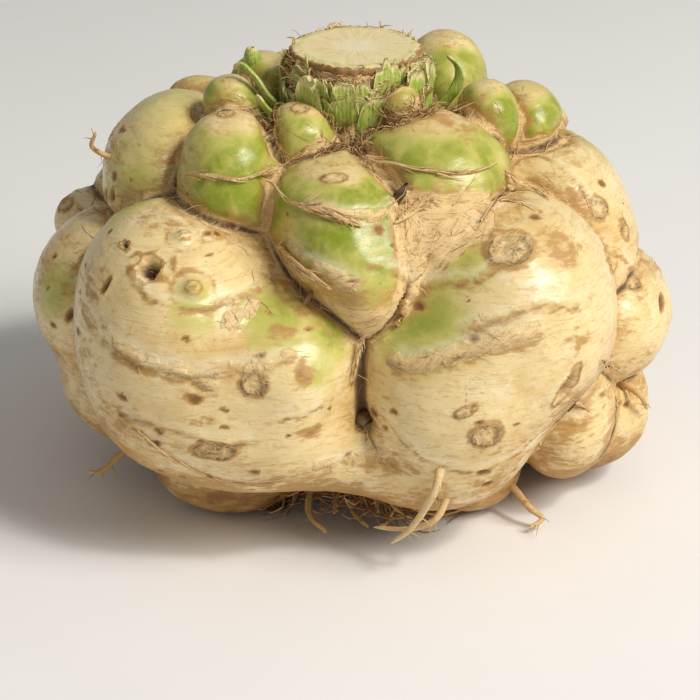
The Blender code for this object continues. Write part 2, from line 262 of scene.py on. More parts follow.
class Corm:
    """The corm's whole shape as one field of signed distance, and ways to find places on it."""

    CREASE = 1.2
    FRONT_BLEND = 11.0
    BEND = 2.6
    CORE_BLEND = 4.0
    MIDDLE = np.array([0.0, 0.0, 45.0])
    OUTSIDE = 125.0
    PROBE = 0.06
    MARCHES = 24
    STRIDE = 0.85

    def __init__(self, swellings: Sequence[Swelling], stump: Stump) -> None:
        """Keep the swellings and the stump that make up the corm."""
        self.swellings, self.stump = tuple(swellings), stump

    def bent(self, points: Array) -> Array:
        """Points moved by slow waves at the back, so that no crease there runs straight."""
        x, y, z = points.T
        share = smoothstep(6, 24, y) * smoothstep(6, 22, z) * smoothstep(82, 68, z)
        wave = np.stack([np.sin(0.10 * z + 0.05 * y + 1.0) + 0.6 * np.sin(0.21 * z - 0.13 * y),
                         np.sin(0.09 * z + 0.08 * x) + 0.5 * np.sin(0.19 * x + 0.11 * z),
                         np.sin(0.11 * x - 0.07 * y + 2.0) + 0.6 * np.sin(0.17 * y + 0.15 * x)], 1)
        return (points + self.BEND * share[:, None] * wave).astype(np.float32)

    def layers(self, points: Array) -> Array:
        """Distance to each swelling and, last, to the stump: one row per swelling."""
        bent = self.bent(points)
        rows = [swelling.distance(bent) for swelling in self.swellings]
        return np.stack([*rows, self.stump.distance(points)])

    def distance(self, points: Array) -> Array:
        """Signed distance to the fused skin."""
        points = points.astype(np.float32)
        rows = self.layers(points)
        merge = self.CREASE + self.FRONT_BLEND * smoothstep(31, 21, points[:, 2])
        total = smooth_min(rows[0], rows[1], merge)
        joins = [swelling.join for swelling in self.swellings[2:]] + [self.CREASE]
        for row, join in zip(rows[2:], joins):
            total = smooth_min(total, row, join)
        return smooth_min(total, CORE.distance(points), self.CORE_BLEND)

    def slope(self, points: Array) -> Array:
        """The gradient of the distance to the skin, from four samples round each point."""
        out = np.zeros((len(points), 3))
        for corner in ((1, -1, -1), (-1, -1, 1), (-1, 1, -1), (1, 1, 1)):
            way = np.array(corner, float)
            out += self.distance(points + way * self.PROBE)[:, None] * way
        return out / (4 * self.PROBE)

    def snap(self, points: Array, rounds: int = 2) -> Array:
        """Move points onto the skin along the field's slope."""
        points = points.astype(float).copy()
        for _ in range(rounds):
            slope = self.slope(points)
            points -= (self.distance(points) / np.maximum((slope * slope).sum(1), 0.15))[:, None] * slope
        return points

    def place(self, bearings: Array, elevations: Array) -> Array:
        """Points of the skin met when aiming at the middle from outside.

        Args:
            bearings: degrees round the corm, 0 at the front.
            elevations: degrees above the middle.

        Returns:
            One point per pair.
        """
        ways = aim(np.asarray(bearings, float), np.asarray(elevations, float)).reshape(-1, 3)
        reach = np.full(len(ways), self.OUTSIDE)
        for _ in range(self.MARCHES):
            reach -= self.STRIDE * self.distance(self.MIDDLE + ways * reach[:, None])
        return self.snap(self.MIDDLE + ways * reach[:, None], 1)


# ---- the skin and the marks on it ----------------------------------------------------------------
class Tint(Enum):
    """The channels painted on the skin for its finish to read."""

    GREEN = "green"
    BROWN = "brown"
    DARK = "dark"
    FIBRE = "fibre"
    PALE = "pale"
    SEAM = "seam"


@dataclass
class Sheet:
    """The skin while it is being worked: where it is, how far it is lifted and how it is tinted."""

    points: Array
    normals: Array
    grain: Grain
    lift: Array = field(init=False)
    tints: dict[Tint, Array] = field(init=False)

    def __post_init__(self) -> None:
        """Start with a bare, unlifted skin."""
        self.lift = np.zeros(len(self.points))
        self.tints = {tint: np.zeros(len(self.points)) for tint in Tint}

    def near(self, centre: Array, normal: Array, reach: float) -> Array:
        """Indices of the skin points within reach of a place and facing much as it does."""
        box = np.abs(self.points - centre).max(axis=1) < reach
        index = np.nonzero(box)[0]
        return index[self.normals[index] @ normal > 0.05]

    def stain(self, tint: Tint, index: Array, amount: Array) -> None:
        """Strengthen a tint where the amount is above what is there."""
        self.tints[tint][index] = np.maximum(self.tints[tint][index], amount)

    def stain_all(self, tint: Tint, amount: Array) -> None:
        """Strengthen a tint over the whole skin where the amount is above what is there."""
        self.tints[tint] = np.maximum(self.tints[tint], amount)

    def rough(self, size: float, layers: int = 3) -> Array:
        """Layered noise at every point of the skin."""
        return self.grain.layered(self.points, size, layers)

    def local(self, spot: Spot, reach: float, turn: float = 0.0) -> tuple[Array, Array, Array]:
        """Flat coordinates round a place on the skin.

        Args:
            spot: the place and the way the skin faces there.
            reach: how far to look, millimetres.
            turn: how the coordinates are turned in the skin, degrees.

        Returns:
            The indices of the points, and their coordinates along and up.
        """
        centre, normal = spot
        along = unit(np.cross([0, 0, 1.0], normal))
        up = np.cross(normal, along)
        index = self.near(centre, normal, reach)
        offset = self.points[index] - centre
        u, v = offset @ along, offset @ up
        c, s = math.cos(math.radians(turn)), math.sin(math.radians(turn))
        return index, u * c + v * s, v * c - u * s


@dataclass(frozen=True)
class Mark:
    """Anything at one place on the skin."""

    bearing: float
    elevation: float
    radius: float
    depth: float = 0.5
    squash: float = 1.0
    turn: float = 0.0

    def polar(self, sheet: Sheet, spot: Spot, reach: float = 2.4, rough: float = 0.12) -> tuple[Array, ...]:
        """Indices, distance in radii, and flat coordinates round the mark."""
        index, u, v = sheet.local(spot, self.radius * reach, self.turn)
        out = np.hypot(u, v / self.squash) / self.radius
        out = out * (1 + rough * sheet.grain.at(sheet.points[index], self.radius * 0.6))
        return index, out, u, v

    def apply(self, sheet: Sheet, spot: Spot) -> None:
        """Work the mark into the skin."""
        raise NotImplementedError


class RingScar(Mark):
    """Where a side root was cut off: a raised ring round a sunken, fibrous middle."""

    def apply(self, sheet: Sheet, spot: Spot) -> None:
        """Raise the ring, sink and tint the middle."""
        index, out, u, v = self.polar(sheet, spot)
        inside = smoothstep(1.08, 0.8, out)
        rim = bell(out - 1.0, 0.17)
        whorl = np.cos(out * 15 + np.arctan2(v, u) * 1.0) * inside
        fine = sheet.grain.layered(sheet.points[index], 1.1, 3)
        sheet.lift[index] += rim * self.depth * 0.7 - inside * self.depth * (0.8 + fine) + whorl * 0.14
        sheet.stain(Tint.FIBRE, index, inside * 0.95)
        sheet.stain(Tint.DARK, index, inside * np.clip(-1.6 * fine - 0.15, 0, 0.85))
        # Painted shade: a dark line along the rim's lower part, and a soft brown halo round the rim's foot.
        sheet.stain(Tint.DARK, index, bell(out - 0.97, 0.06) * 0.8 * (v < 0.3 * self.radius))
        sheet.stain(Tint.BROWN, index, np.maximum(bell(out - 0.88, 0.14), bell(out - 1.15, 0.22) * 0.5))
        sheet.stain(Tint.DARK, index, bell(out - 0.8, 0.09) * np.clip(0.35 + fine, 0, 0.75))


class Pit(Mark):
    """A hole in the skin with a dark bottom and a torn edge."""

    def apply(self, sheet: Sheet, spot: Spot) -> None:
        """Sink the hole and tint it."""
        index, out, _, _ = self.polar(sheet, spot, rough=0.5)
        inside = smoothstep(1.15, 0.35, out)
        sheet.lift[index] += bell(out - 1.25, 0.25) * 0.25 - inside * self.depth
        # Painted shade: the bottom of the hole is painted dark.
        sheet.stain(Tint.DARK, index, smoothstep(0.95, 0.45, out))
        sheet.stain(Tint.BROWN, index, smoothstep(1.9, 0.8, out) * 0.95)
        sheet.stain(Tint.FIBRE, index, smoothstep(1.35, 0.8, out) * 0.8)


class Nodule(Mark):
    """A small wart with a ring round its top."""

    def apply(self, sheet: Sheet, spot: Spot) -> None:
        """Raise the wart and tint its ring."""
        index, out, _, _ = self.polar(sheet, spot, rough=0.06)
        sheet.lift[index] += bell(out, 0.62) * self.depth * 1.5 + bell(out - 0.5, 0.12) * 0.12 \
            - bell(out, 0.2) * 0.2 - bell(out - 1.5, 0.3) * 0.12
        sheet.stain(Tint.BROWN, index, np.maximum(bell(out - 0.5, 0.1) * 0.6, bell(out, 0.18) * 0.8))
        sheet.stain(Tint.BROWN, index, bell(out - 1.45, 0.25) * 0.3)


class Lenticel(Mark):
    """A small brown breathing slit, a little sunken."""

    def apply(self, sheet: Sheet, spot: Spot) -> None:
        """Sink and tint the slit."""
        index, out, _, _ = self.polar(sheet, spot, rough=0.3)
        sheet.lift[index] += bell(out - 1.3, 0.4) * self.depth * 0.3 - bell(out, 0.8) * self.depth
        sheet.stain(Tint.BROWN, index, smoothstep(1.5, 0.5, out))
        sheet.stain(Tint.DARK, index, bell(out, 0.45) * min(1.0, self.depth * 1.2))


class GreenPatch(Mark):
    """Skin that has greened in the light."""

    def apply(self, sheet: Sheet, spot: Spot) -> None:
        """Tint the patch, its depth being its strength."""
        index, out, _, _ = self.polar(sheet, spot, reach=1.6, rough=0.25)
        sheet.stain(Tint.GREEN, index, smoothstep(1.25, 0.15, out) * self.depth)


class BrownPatch(Mark):
    """Bruised or stained skin."""

    def apply(self, sheet: Sheet, spot: Spot) -> None:
        """Tint the patch, its depth being its strength."""
        index, out, _, _ = self.polar(sheet, spot, reach=1.8, rough=0.45)
        fine = sheet.grain.layered(sheet.points[index], 2.0, 3)
        sheet.stain(Tint.BROWN, index, smoothstep(1.3, 0.3, out) * self.depth * np.clip(0.75 + fine, 0, 1))


@dataclass(frozen=True)
class Girdle:
    """A leaf-scar line that runs along the skin: a low ridge with a stained groove below it."""

    MEAN_RADIUS = 62.0
    SMOOTHINGS = 4

    path: tuple[Bearing, ...]
    width: float = 0.9
    ridge: float = 0.3
    torn: float = 0.3
    stain: float = 0.7

    def trace(self, corm: Corm, spacing: float = 0.8) -> tuple[Array, Array, Array]:
        """Close points along the line on the skin.

        Args:
            corm: the shape the line lies on.
            spacing: the distance between points, millimetres.

        Returns:
            The points, their normals and the directions across the line, downwards.
        """
        knots = np.array(self.path, float)
        rough = aim(knots[:, 0], knots[:, 1]) * self.MEAN_RADIUS
        lengths = np.r_[0, np.cumsum(np.linalg.norm(np.diff(rough, axis=0), axis=1))]
        count = max(4, int(lengths[-1] / spacing))
        along = np.linspace(0, lengths[-1], count)
        smooth = np.stack([np.interp(along, lengths, knots[:, axis]) for axis in range(2)], 1)
        for _ in range(self.SMOOTHINGS):
            smooth[1:-1] = (smooth[:-2] + 2 * smooth[1:-1] + smooth[2:]) / 4
        points = corm.place(smooth[:, 0], smooth[:, 1])
        normals = unit(corm.slope(points))
        across = unit(np.cross(normals, np.gradient(points, axis=0)))
        across *= -np.sign((across[:, 2:].mean() or 1.0))
        return points, normals, across

    def apply(self, sheet: Sheet, corm: Corm) -> None:
        """Raise the ridge and tint the groove and the torn skin on it."""
        points, normals, across = self.trace(corm)
        reach = self.width * 5 + 1
        low, high = points.min(0) - reach, points.max(0) + reach
        index = np.nonzero(((sheet.points > low) & (sheet.points < high)).all(axis=1))[0]
        offset = sheet.points[index][:, None] - points[None]
        nearest = (offset ** 2).sum(-1).argmin(1)
        offset = offset[np.arange(len(index)), nearest]
        facing = (sheet.normals[index] * normals[nearest]).sum(1) > 0.3
        close = facing & (np.linalg.norm(offset, axis=1) < reach)
        index, offset, nearest = index[close], offset[close], nearest[close]
        here = sheet.points[index]
        wander = sheet.grain.layered(here, 5.0, 3)
        down = (offset * across[nearest]).sum(1) + wander * 0.9
        along = nearest / max(len(points) - 1, 1)
        ends = smoothstep(0, 0.1, along) * smoothstep(1, 0.9, along)
        ends = ends * (np.linalg.norm(offset, axis=1) < reach)
        ragged = np.clip(0.65 + sheet.grain.layered(here * np.array([1, 1, 2.0]), 2.4, 3) * 1.1, 0, 1)
        step = smoothstep(-1.2, 0.0, down / self.width) * smoothstep(0.9, 0.35, down / self.width)
        sheet.lift[index] += ends * (self.ridge * 0.75 * step * (0.6 + 0.4 * ragged)
                                     - self.ridge * 0.5 * bell(down - 1.1 * self.width, self.width * 0.6))
        strip = smoothstep(0.45, 0.8, self.torn + 0.25 * (ragged - 0.5))
        sheet.stain(Tint.FIBRE, index,
                    ends * strip * ragged * smoothstep(1.9, 1.0, np.abs(down) / self.width) * 0.9)
        sheet.stain(Tint.BROWN, index,
                    ends * self.stain * ragged * 0.85 * bell(down - 0.9 * self.width, self.width * 1.3))
        sheet.stain(Tint.DARK, index,
                    ends * self.stain * 0.7 * ragged ** 2 * bell(down - 1.0 * self.width, self.width * 0.3))
        # Pale wear and painted highlight on the skin just above the ridge.
        sheet.stain(Tint.PALE, index, ends * 0.5 * bell(down + 1.6 * self.width, self.width))


# ---- node trees ----------------------------------------------------------------------------------
class Graph:
    """A material's node tree, with short ways to add and join nodes."""

    def __init__(self, name: str) -> None:
        """Start a new material with an empty tree and its output."""
        self.material = bpy.data.materials.new(name)
        self.material.use_nodes = True
        self.tree = self.material.node_tree
        self.tree.nodes.clear()
        self.output = self.tree.nodes.new("ShaderNodeOutputMaterial")

    def add(self, kind: str, inputs: dict | None = None, **settings) -> bpy.types.Node:
        """Add a node.

        Args:
            kind: the node type, without its "ShaderNode" prefix.
            inputs: input name or number to a plain value or to a socket to join.
            settings: properties of the node itself.

        Returns:
            The node.
        """
        node = self.tree.nodes.new("ShaderNode" + kind)
        for name, value in settings.items():
            setattr(node, name, value)
        for key, value in (inputs or {}).items():
            if isinstance(value, Socket):
                self.tree.links.new(value, node.inputs[key])
            else:
                node.inputs[key].default_value = value
        return node

    def where(self, stretch: Triple = (1, 1, 1)) -> Socket:
        """The object's own coordinates in millimetres, stretched."""
        coords = self.add("TexCoord").outputs["Object"]
        scale = tuple(s / MM for s in stretch)
        return self.add("Mapping", {"Vector": coords, "Scale": scale}).outputs["Vector"]

    def channel(self, name: str) -> Socket:
        """A painted channel of the mesh."""
        return self.add("Attribute", attribute_name=name).outputs["Fac"]

    def noise(self, where: Socket, size: float, detail: float = 4.0, rough: float = 0.55,
              bend: float = 0.0) -> Socket:
        """Noise whose features are about size millimetres wide."""
        return self.add("TexNoise", {"Vector": where, "Scale": 1 / size, "Detail": detail,
                                     "Roughness": rough, "Distortion": bend}).outputs["Fac"]

    def ramp(self, value: Socket, low: float, high: float, start: float = 0.0,
             end: float = 1.0) -> Socket:
        """A smooth ramp from start at low to end at high."""
        return self.add("MapRange", {"Value": value, "From Min": low, "From Max": high, "To Min": start,
                                     "To Max": end}, interpolation_type='SMOOTHSTEP').outputs["Result"]

    def maths(self, operation: str, a: Socket | float, b: Socket | float = 0.0) -> Socket:
        """An operation on one or two values."""
        return self.add("Math", {0: a, 1: b}, operation=operation).outputs[0]

    def times(self, a: Socket | float, b: Socket | float) -> Socket:
        """The product of two values."""
        return self.maths('MULTIPLY', a, b)

    def plus(self, a: Socket | float, b: Socket | float) -> Socket:
        """The sum of two values."""
        return self.maths('ADD', a, b)

    def swing(self, value: Socket, amount: float) -> Socket:
        """Noise moved to lie round zero and scaled by an amount."""
        return self.times(self.maths('SUBTRACT', value, 0.5), amount)

    def mix(self, share: Socket | float, a: Socket | Colour, b: Socket | Colour) -> Socket:
        """Mix two colours."""
        node = self.add("Mix", data_type='RGBA', clamp_factor=True)
        for key, value in (("Factor_Float", share), ("A_Color", a), ("B_Color", b)):
            socket = next(s for s in node.inputs if s.identifier == key)
            if isinstance(value, Socket):
                self.tree.links.new(value, socket)
            else:
                socket.default_value = value if key == "Factor_Float" else (*value, 1.0)
        return next(s for s in node.outputs if s.identifier == "Result_Color")

    def bump(self, height: Socket, depth: float, strength: float = 1.0,
             normal: Socket | None = None) -> Socket:
        """Relief of a depth in millimetres."""
        inputs = {"Height": height, "Distance": depth * MM, "Strength": strength}
        if normal is not None:
            inputs["Normal"] = normal
        return self.add("Bump", inputs).outputs["Normal"]

    def finish(self, **inputs) -> Material:
        """Close the tree with the surface shader, its inputs given by name with _ for spaces."""
        named = {key.replace("_", " "): value for key, value in inputs.items()}
        shader = self.add("BsdfPrincipled", named)
        self.tree.links.new(shader.outputs[0], self.output.inputs["Surface"])
        return self.material


@dataclass(frozen=True)
class SkinFinish:
    """The corm's waxy cream skin with its stains, greening, creases and torn fibres, and painted shade in the
    creases and on its lower and left sides.
    """

    cream: Colour = (0.84, 0.66, 0.33)
    honey: Colour = (0.71, 0.48, 0.175)
    tan: Colour = (0.50, 0.28, 0.08)
    brown: Colour = (0.27, 0.13, 0.035)
    # painted shade colour for the creases, pits and scar rims; also the colour of dark marks
    shadow: Colour = (0.065, 0.025, 0.008)
    leaf: Colour = (0.25, 0.31, 0.018)
    leaf_pale: Colour = (0.56, 0.52, 0.13)
    fibre_light: Colour = (0.84, 0.61, 0.29)
    fibre_dark: Colour = (0.42, 0.225, 0.07)
    # pale skin: random pale patches, and painted highlight above the girdle ridges
    pale_wear_and_highlight: Colour = (0.90, 0.80, 0.54)

    def material(self) -> Material:
        """Build the node tree."""
        g = Graph("corm_skin")
        here, level = g.where(), g.where((1, 1, 3.4))
        green, brown, dark = g.channel("green"), g.channel("brown"), g.channel("dark")
        fibre, pale, seam = g.channel("fibre"), g.channel("pale"), g.channel("seam")

        broad = g.noise(here, 16, 5, 0.6)
        cloud = g.noise(here, 5.5, 6, 0.62, 0.4)
        streak = g.noise(level, 5.0, 8, 0.68, 0.8)
        fine = g.noise(here, 1.1, 5, 0.7)
        colour = g.mix(g.ramp(broad, 0.42, 0.75), self.cream, self.honey)
        colour = g.mix(g.times(g.ramp(cloud, 0.5, 0.72), 0.55), colour, self.pale_wear_and_highlight)
        colour = g.mix(g.times(g.ramp(streak, 0.54, 0.74), 0.62), colour, self.tan)

        mottle = g.noise(here, 2.3, 7, 0.7, 0.5)
        colour = g.mix(g.times(g.ramp(mottle, 0.5, 0.68), 0.24), colour, self.tan)
        hairline = g.noise(g.where((0.45, 0.45, 4.2)), 3.0, 7, 0.7, 1.2)
        hairline = g.times(g.ramp(hairline, 0.56, 0.585), g.ramp(hairline, 0.62, 0.595))
        colour = g.mix(g.times(hairline, 0.55), colour, self.tan)
        greening = g.times(green, g.ramp(cloud, 0.28, 0.62, 0.55, 1.0))
        colour = g.mix(g.ramp(greening, 0.02, 0.5), colour, self.leaf_pale)
        colour = g.mix(g.times(g.ramp(greening, 0.4, 1.0), g.ramp(mottle, 0.25, 0.55, 0.6, 1.0)),
                       colour, self.leaf)

        grit = g.noise(g.where((0.75, 0.75, 1.7)), 1.5, 8, 0.72, 0.3)
        broken = g.plus(g.times(g.noise(level, 6.0, 9, 0.74, 0.8), 0.55),
                         g.times(grit, 0.45))
        # The brown channel holds stains and painted shade (beside the creases, low down, and on downward- and
        # left-facing skin), so these tan and brown mixes paint that shade too.
        brown_stain_and_shade = g.plus(broken, g.times(brown, 0.46))
        tan_stain_and_shade = g.ramp(brown_stain_and_shade, 0.555, 0.70)
        colour = g.mix(g.times(tan_stain_and_shade, 0.92), colour, self.tan)
        colour = g.mix(g.ramp(brown_stain_and_shade, 0.70, 0.94), colour, self.brown)
        specks = g.times(g.ramp(fine, 0.62, 0.71), g.ramp(cloud, 0.42, 0.62, 0.2, 0.9))
        colour = g.mix(g.times(specks, 0.75), colour, self.brown)

        across = g.add("CombineXYZ", {0: g.times(seam, 3.4)}).outputs[0]
        drawn = g.add("VectorMath", {0: g.where((0.25, 0.25, 0.25)), 1: across}, operation='ADD').outputs[0]
        threads = g.noise(drawn, 1.0, 6, 0.65, 0.5)
        wisps = g.noise(g.where((0.5, 0.5, 2.2)), 1.4, 6, 0.7, 1.2)
        hair = g.mix(g.ramp(g.times(g.plus(threads, wisps), 0.5), 0.34, 0.54),
                     self.fibre_dark, self.fibre_light)
        wander = g.swing(cloud, 5.0)
        edge = g.plus(seam, wander)
        crease = g.ramp(edge, 1.6, 0.2)
        # Painted shade: a dark line along each crease.
        crease_shade = g.ramp(g.plus(seam, g.times(wander, 0.2)), 0.85, 0.05)
        matted = g.maths('MAXIMUM', g.ramp(fibre, 0.12, 0.6), g.times(crease, 0.6))
        colour = g.mix(matted, colour, hair)
        # Pale wear and painted highlight above the girdle ridges.
        colour = g.mix(g.times(pale, g.ramp(streak, 0.3, 0.6)), colour, self.pale_wear_and_highlight)
        # Painted shade: the crease line and the dark channel take the shadow colour; the dark channel holds dark
        # marks, and painted shade in pits and under scar rims.
        colour = g.mix(g.maths('MAXIMUM', dark, g.times(crease_shade, 0.9)), colour, self.shadow)

        rough = g.ramp(g.maths('MAXIMUM', matted, g.times(tan_stain_and_shade, 0.6)), 0.0, 1.0, 0.26, 0.74)
        relief = g.plus(g.times(streak, 0.4), g.times(grit, 0.25))
        normal = g.bump(relief, 0.32, 0.6)
        mat_relief = g.times(g.plus(threads, wisps), matted)
        normal = g.bump(mat_relief, 0.4, 0.55, normal)
        return g.finish(Base_Color=colour, Roughness=rough, Normal=normal, Specular_IOR_Level=0.5)


# ---- the skin as a surface for other pieces ------------------------------------------------------
class Surface:
    """The finished skin, for pieces that lie on it or grow from it."""

    NEIGHBOURS = 24

    def __init__(self, points: Array, normals: Array, sheet: Sheet) -> None:
        """Keep the worked skin in the maker's frame and index its points."""
        self.points, self.normals, self.sheet = points, normals, sheet
        self.tree = KDTree(len(points))
        for number, point in enumerate(points):
            self.tree.insert(point, number)
        self.tree.balance()

    def nearest(self, points: Array) -> Array:
        """The number of the skin point nearest to each point."""
        return np.array([self.tree.find(point)[1] for point in points.reshape(-1, 3)])

    def drape(self, points: Array, height: Array) -> Array:
        """Points moved onto the skin and lifted by a height."""
        number = self.nearest(points)
        return self.points[number] + self.normals[number] * np.reshape(height, (-1, 1))

    def along_seam(self, number: Array, rng: np.random.Generator, stray: float) -> Array:
        """Directions in the skin that follow the crease near each point, straying at random."""
        seam = self.sheet.tints[Tint.SEAM]
        here = self.points[number]
        out = np.zeros((len(number), 3))
        for row, (point, normal) in enumerate(zip(here, self.normals[number])):
            near = [k for _, k, _ in self.tree.find_n(point, self.NEIGHBOURS)]
            slope = ((self.points[near] - point) * (seam[near] - seam[number[row]])[:, None]).sum(0)
            out[row] = np.cross(normal, slope)
        out = unit(out) + rng.normal(0, stray, out.shape)
        out -= (out * self.normals[number]).sum(1, keepdims=True) * self.normals[number]
        return unit(out) * rng.choice([-1.0, 1.0], (len(number), 1))


# ---- meshes --------------------------------------------------------------------------------------
def read_rows(items: Sequence, what: str) -> Array:
    """One row of three values for each of a mesh's items."""
    flat = np.empty(len(items) * 3, np.float32)
    items.foreach_get(what, flat)
    return flat.reshape(-1, 3).astype(float)


def paint(made: bpy.types.Object, channel: str, values: Array) -> None:
    """Write one value per point for the finish to read."""
    layer = made.data.attributes.new(channel, 'FLOAT', 'POINT')
    layer.data.foreach_set("value", values.astype(np.float32))


class Maker:
    """Turns worked points into named pieces that ride on the root."""

    def __init__(self, shift: Array) -> None:
        """Keep the shift from the maker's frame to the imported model's, millimetres."""
        self.shift = shift

    def piece(self, name: str, points: Array, faces: Iterable[Sequence[int]] | Array,
              material: Material, slot: str, stands_for: Sequence[str] = ()) -> bpy.types.Object:
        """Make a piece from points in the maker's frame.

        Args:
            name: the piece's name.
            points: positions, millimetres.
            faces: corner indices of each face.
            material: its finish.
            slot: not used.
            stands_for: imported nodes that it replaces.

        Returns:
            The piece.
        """
        mesh = bpy.data.meshes.new(name)
        mesh.from_pydata(((points + self.shift) * MM).tolist(), [], [list(map(int, f)) for f in faces])
        mesh.shade_smooth()
        mesh.materials.append(material)
        made = bpy.data.objects.new(name, mesh)
        bpy.context.scene.collection.objects.link(made)
        self.settle(made, slot, stands_for)
        return made

    def settle(self, made: bpy.types.Object, slot: str, stands_for: Sequence[str] = ()) -> None:
        """Tell the frame what a piece rides on and stands for."""
        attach(made, "root")
        if stands_for:
            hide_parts(*stands_for)


class Zones:
    """Which swellings each skin point lies on and beside, and how far it is from the crease there."""

    MERGED = 9.0

    def __init__(self, corm: Corm, points: Array) -> None:
        """Sort the distances to the swellings and the stump at every point."""
        layers = corm.layers(points.astype(np.float32))
        order, rows = np.argsort(layers, axis=0), np.arange(len(points))
        self.names = [swelling.name for swelling in corm.swellings]
        self.first, self.second = order[0], order[1]
        self.height = points[:, 2]
        self.high = smoothstep(52, 76, self.height)
        self.front = (self.touches("front_left") & self.touches("front_right")).astype(float)
        merged = self.front * smoothstep(34, 26, self.height)
        self.seam = layers[self.second, rows] - layers[self.first, rows] + self.MERGED * merged

    def on(self, name: str) -> Array:
        """Whether each point lies on a swelling."""
        return self.first == self.names.index(name)

    def beside(self, name: str) -> Array:
        """Whether a swelling is the next one to each point."""
        return self.second == self.names.index(name)

    def touches(self, name: str) -> Array:
        """Whether each point lies on a swelling or next to it."""
        return self.on(name) | self.beside(name)

    def on_stump(self) -> Array:
        """Whether each point lies on the stump, which comes after the swellings."""
        return self.first == len(self.names)


@dataclass
class SkinMesh:
    """The corm's skin: fused swellings, refined, snapped to the field, then worked."""

    DEEPEST = -2.3
    LEVEL = np.array([1, 1, 3.5])
    STUMP_TONE = 0.6
    STUMP_TALL = 10.0

    corm: Corm
    voxel: float = 1.3
    seed: int = 7
    marks: tuple = ()
    girdles: tuple = ()

    def fused(self) -> bpy.types.Object:
        """The swellings as overlapping rounds, fused by a voxel remesh."""
        bm = bmesh.new()
        for swelling in (*self.corm.swellings, CORE):
            for x, y, z, rx, ry, rz in swelling.lobes:
                shape = Matrix.Translation((x, y, z)) @ Matrix.Diagonal((rx, ry, rz, 1))
                bmesh.ops.create_icosphere(bm, subdivisions=4, radius=1.0, matrix=shape)
        stump = self.corm.stump
        depth = stump.top - stump.base
        bmesh.ops.create_cone(bm, cap_ends=True, segments=64, radius1=stump.r_base, radius2=stump.r_top,
                              depth=depth, matrix=Matrix.Translation((*stump.centre, stump.base + depth / 2)))
        mesh = bpy.data.meshes.new("corm_skin")
        bm.to_mesh(mesh)
        bm.free()
        made = bpy.data.objects.new("corm_skin", mesh)
        bpy.context.scene.collection.objects.link(made)
        fuse = made.modifiers.new("fuse", 'REMESH')
        fuse.mode, fuse.voxel_size = 'VOXEL', self.voxel
        self.bake(made)
        return made

    def bake(self, made: bpy.types.Object) -> None:
        """Replace the mesh by its evaluated one and drop the modifiers."""
        graph = bpy.context.evaluated_depsgraph_get()
        baked = bpy.data.meshes.new_from_object(made.evaluated_get(graph))
        made.modifiers.clear()
        old, made.data = made.data, baked
        bpy.data.meshes.remove(old)

    def read(self, made: bpy.types.Object) -> Array:
        """The mesh's points."""
        return read_rows(made.data.vertices, "co")

    def facing(self, made: bpy.types.Object) -> Array:
        """The mesh's outward normals at its points."""
        return read_rows(made.data.vertex_normals, "vector")

    def write(self, made: bpy.types.Object, points: Array) -> None:
        """Move the mesh's points."""
        made.data.vertices.foreach_set("co", points.astype(np.float32).ravel())
        made.data.update()

    def refined(self) -> bpy.types.Object:
        """The fused skin snapped to the field, refined once and snapped again."""
        made = self.fused()
        self.write(made, self.corm.snap(self.read(made)))
        relax = made.modifiers.new("relax", 'SMOOTH')
        relax.factor, relax.iterations = 0.5, 2
        refine = made.modifiers.new("refine", 'SUBSURF')
        refine.subdivision_type = 'SIMPLE'
        refine.levels = refine.render_levels = 1
        self.bake(made)
        for _ in range(2):
            points = self.read(made)
            self.write(made, points - self.corm.distance(points)[:, None] * self.facing(made))
        return made

    def crease(self, sheet: Sheet, zones: Zones) -> None:
        """Cut the creases, roll the open skin and keep how far each point is from a crease."""
        seam, front, rough = zones.seam, zones.front, sheet.rough
        open_skin, webbed = smoothstep(0.5, 7, seam), zones.touches("web")
        web_foot = 0.5 * smoothstep(54, 64, zones.height)
        edge_of_web = webbed * np.where(zones.touches("front_right"), web_foot, 1.0)
        faint = (1 - front) * 1.8 * smoothstep(0.05, 0.55, rough(15, 2))
        # The seam channel also sets the finish's painted shade along the creases: raising it at the web's edge and
        # at random makes that shade fainter there, and halving it at the front crease widens it.
        sheet.tints[Tint.SEAM] = np.clip(seam * (1 - 0.5 * front) + 2.5 * edge_of_web + faint, 0, 30)
        cut = np.where(webbed | zones.touches("right_fore"), 0.25, 1.0)
        cut = cut * np.clip(0.95 + 0.7 * rough(24, 2) + 0.4 * front, 0.35, 1.35)
        sheet.lift -= cut * ((0.8 + 0.9 * zones.high) * bell(seam, 2.6) + 0.9 * bell(seam, 0.9))
        sheet.lift += open_skin * (0.9 * rough(19, 2) + 0.28 * rough(6.5))
        sheet.lift += 0.12 * open_skin * sheet.grain.layered(sheet.points * self.LEVEL, 4.5, 3)
        sheet.lift += 0.35 * (1 - open_skin) * rough(2.2)
        sheet.lift = np.maximum(sheet.lift, self.DEEPEST)

    def green(self, sheet: Sheet, zones: Zones) -> None:
        """Green the knobs, paler at their tips, and dry the web and the foot of the middle knob."""
        swellings, rough = self.corm.swellings, sheet.rough
        tone = np.array([s.tone.value for s in swellings] + [self.STUMP_TONE])[zones.first]
        top = np.array([max(z + rz for _, _, z, _, _, rz in s.lobes) for s in swellings]
                       + [self.corm.stump.top])
        tall = np.array([max(rz for *_, rz in s.lobes) for s in swellings] + [self.STUMP_TALL])
        below = (top[zones.first] - zones.height) / tall[zones.first]
        tip = smoothstep(0.34, 0.06, below + 0.16 * rough(4, 2))
        knob = tone == Tone.GREEN.value
        tone = tone * np.clip(0.86 + 0.7 * rough(8), 0, 1) * np.where(knob, 1 - 0.8 * tip, 1.0)
        sheet.tints[Tint.GREEN] = np.clip(tone, 0, 1)
        sheet.stain_all(Tint.BROWN, np.where(knob, tip * 0.14, 0))

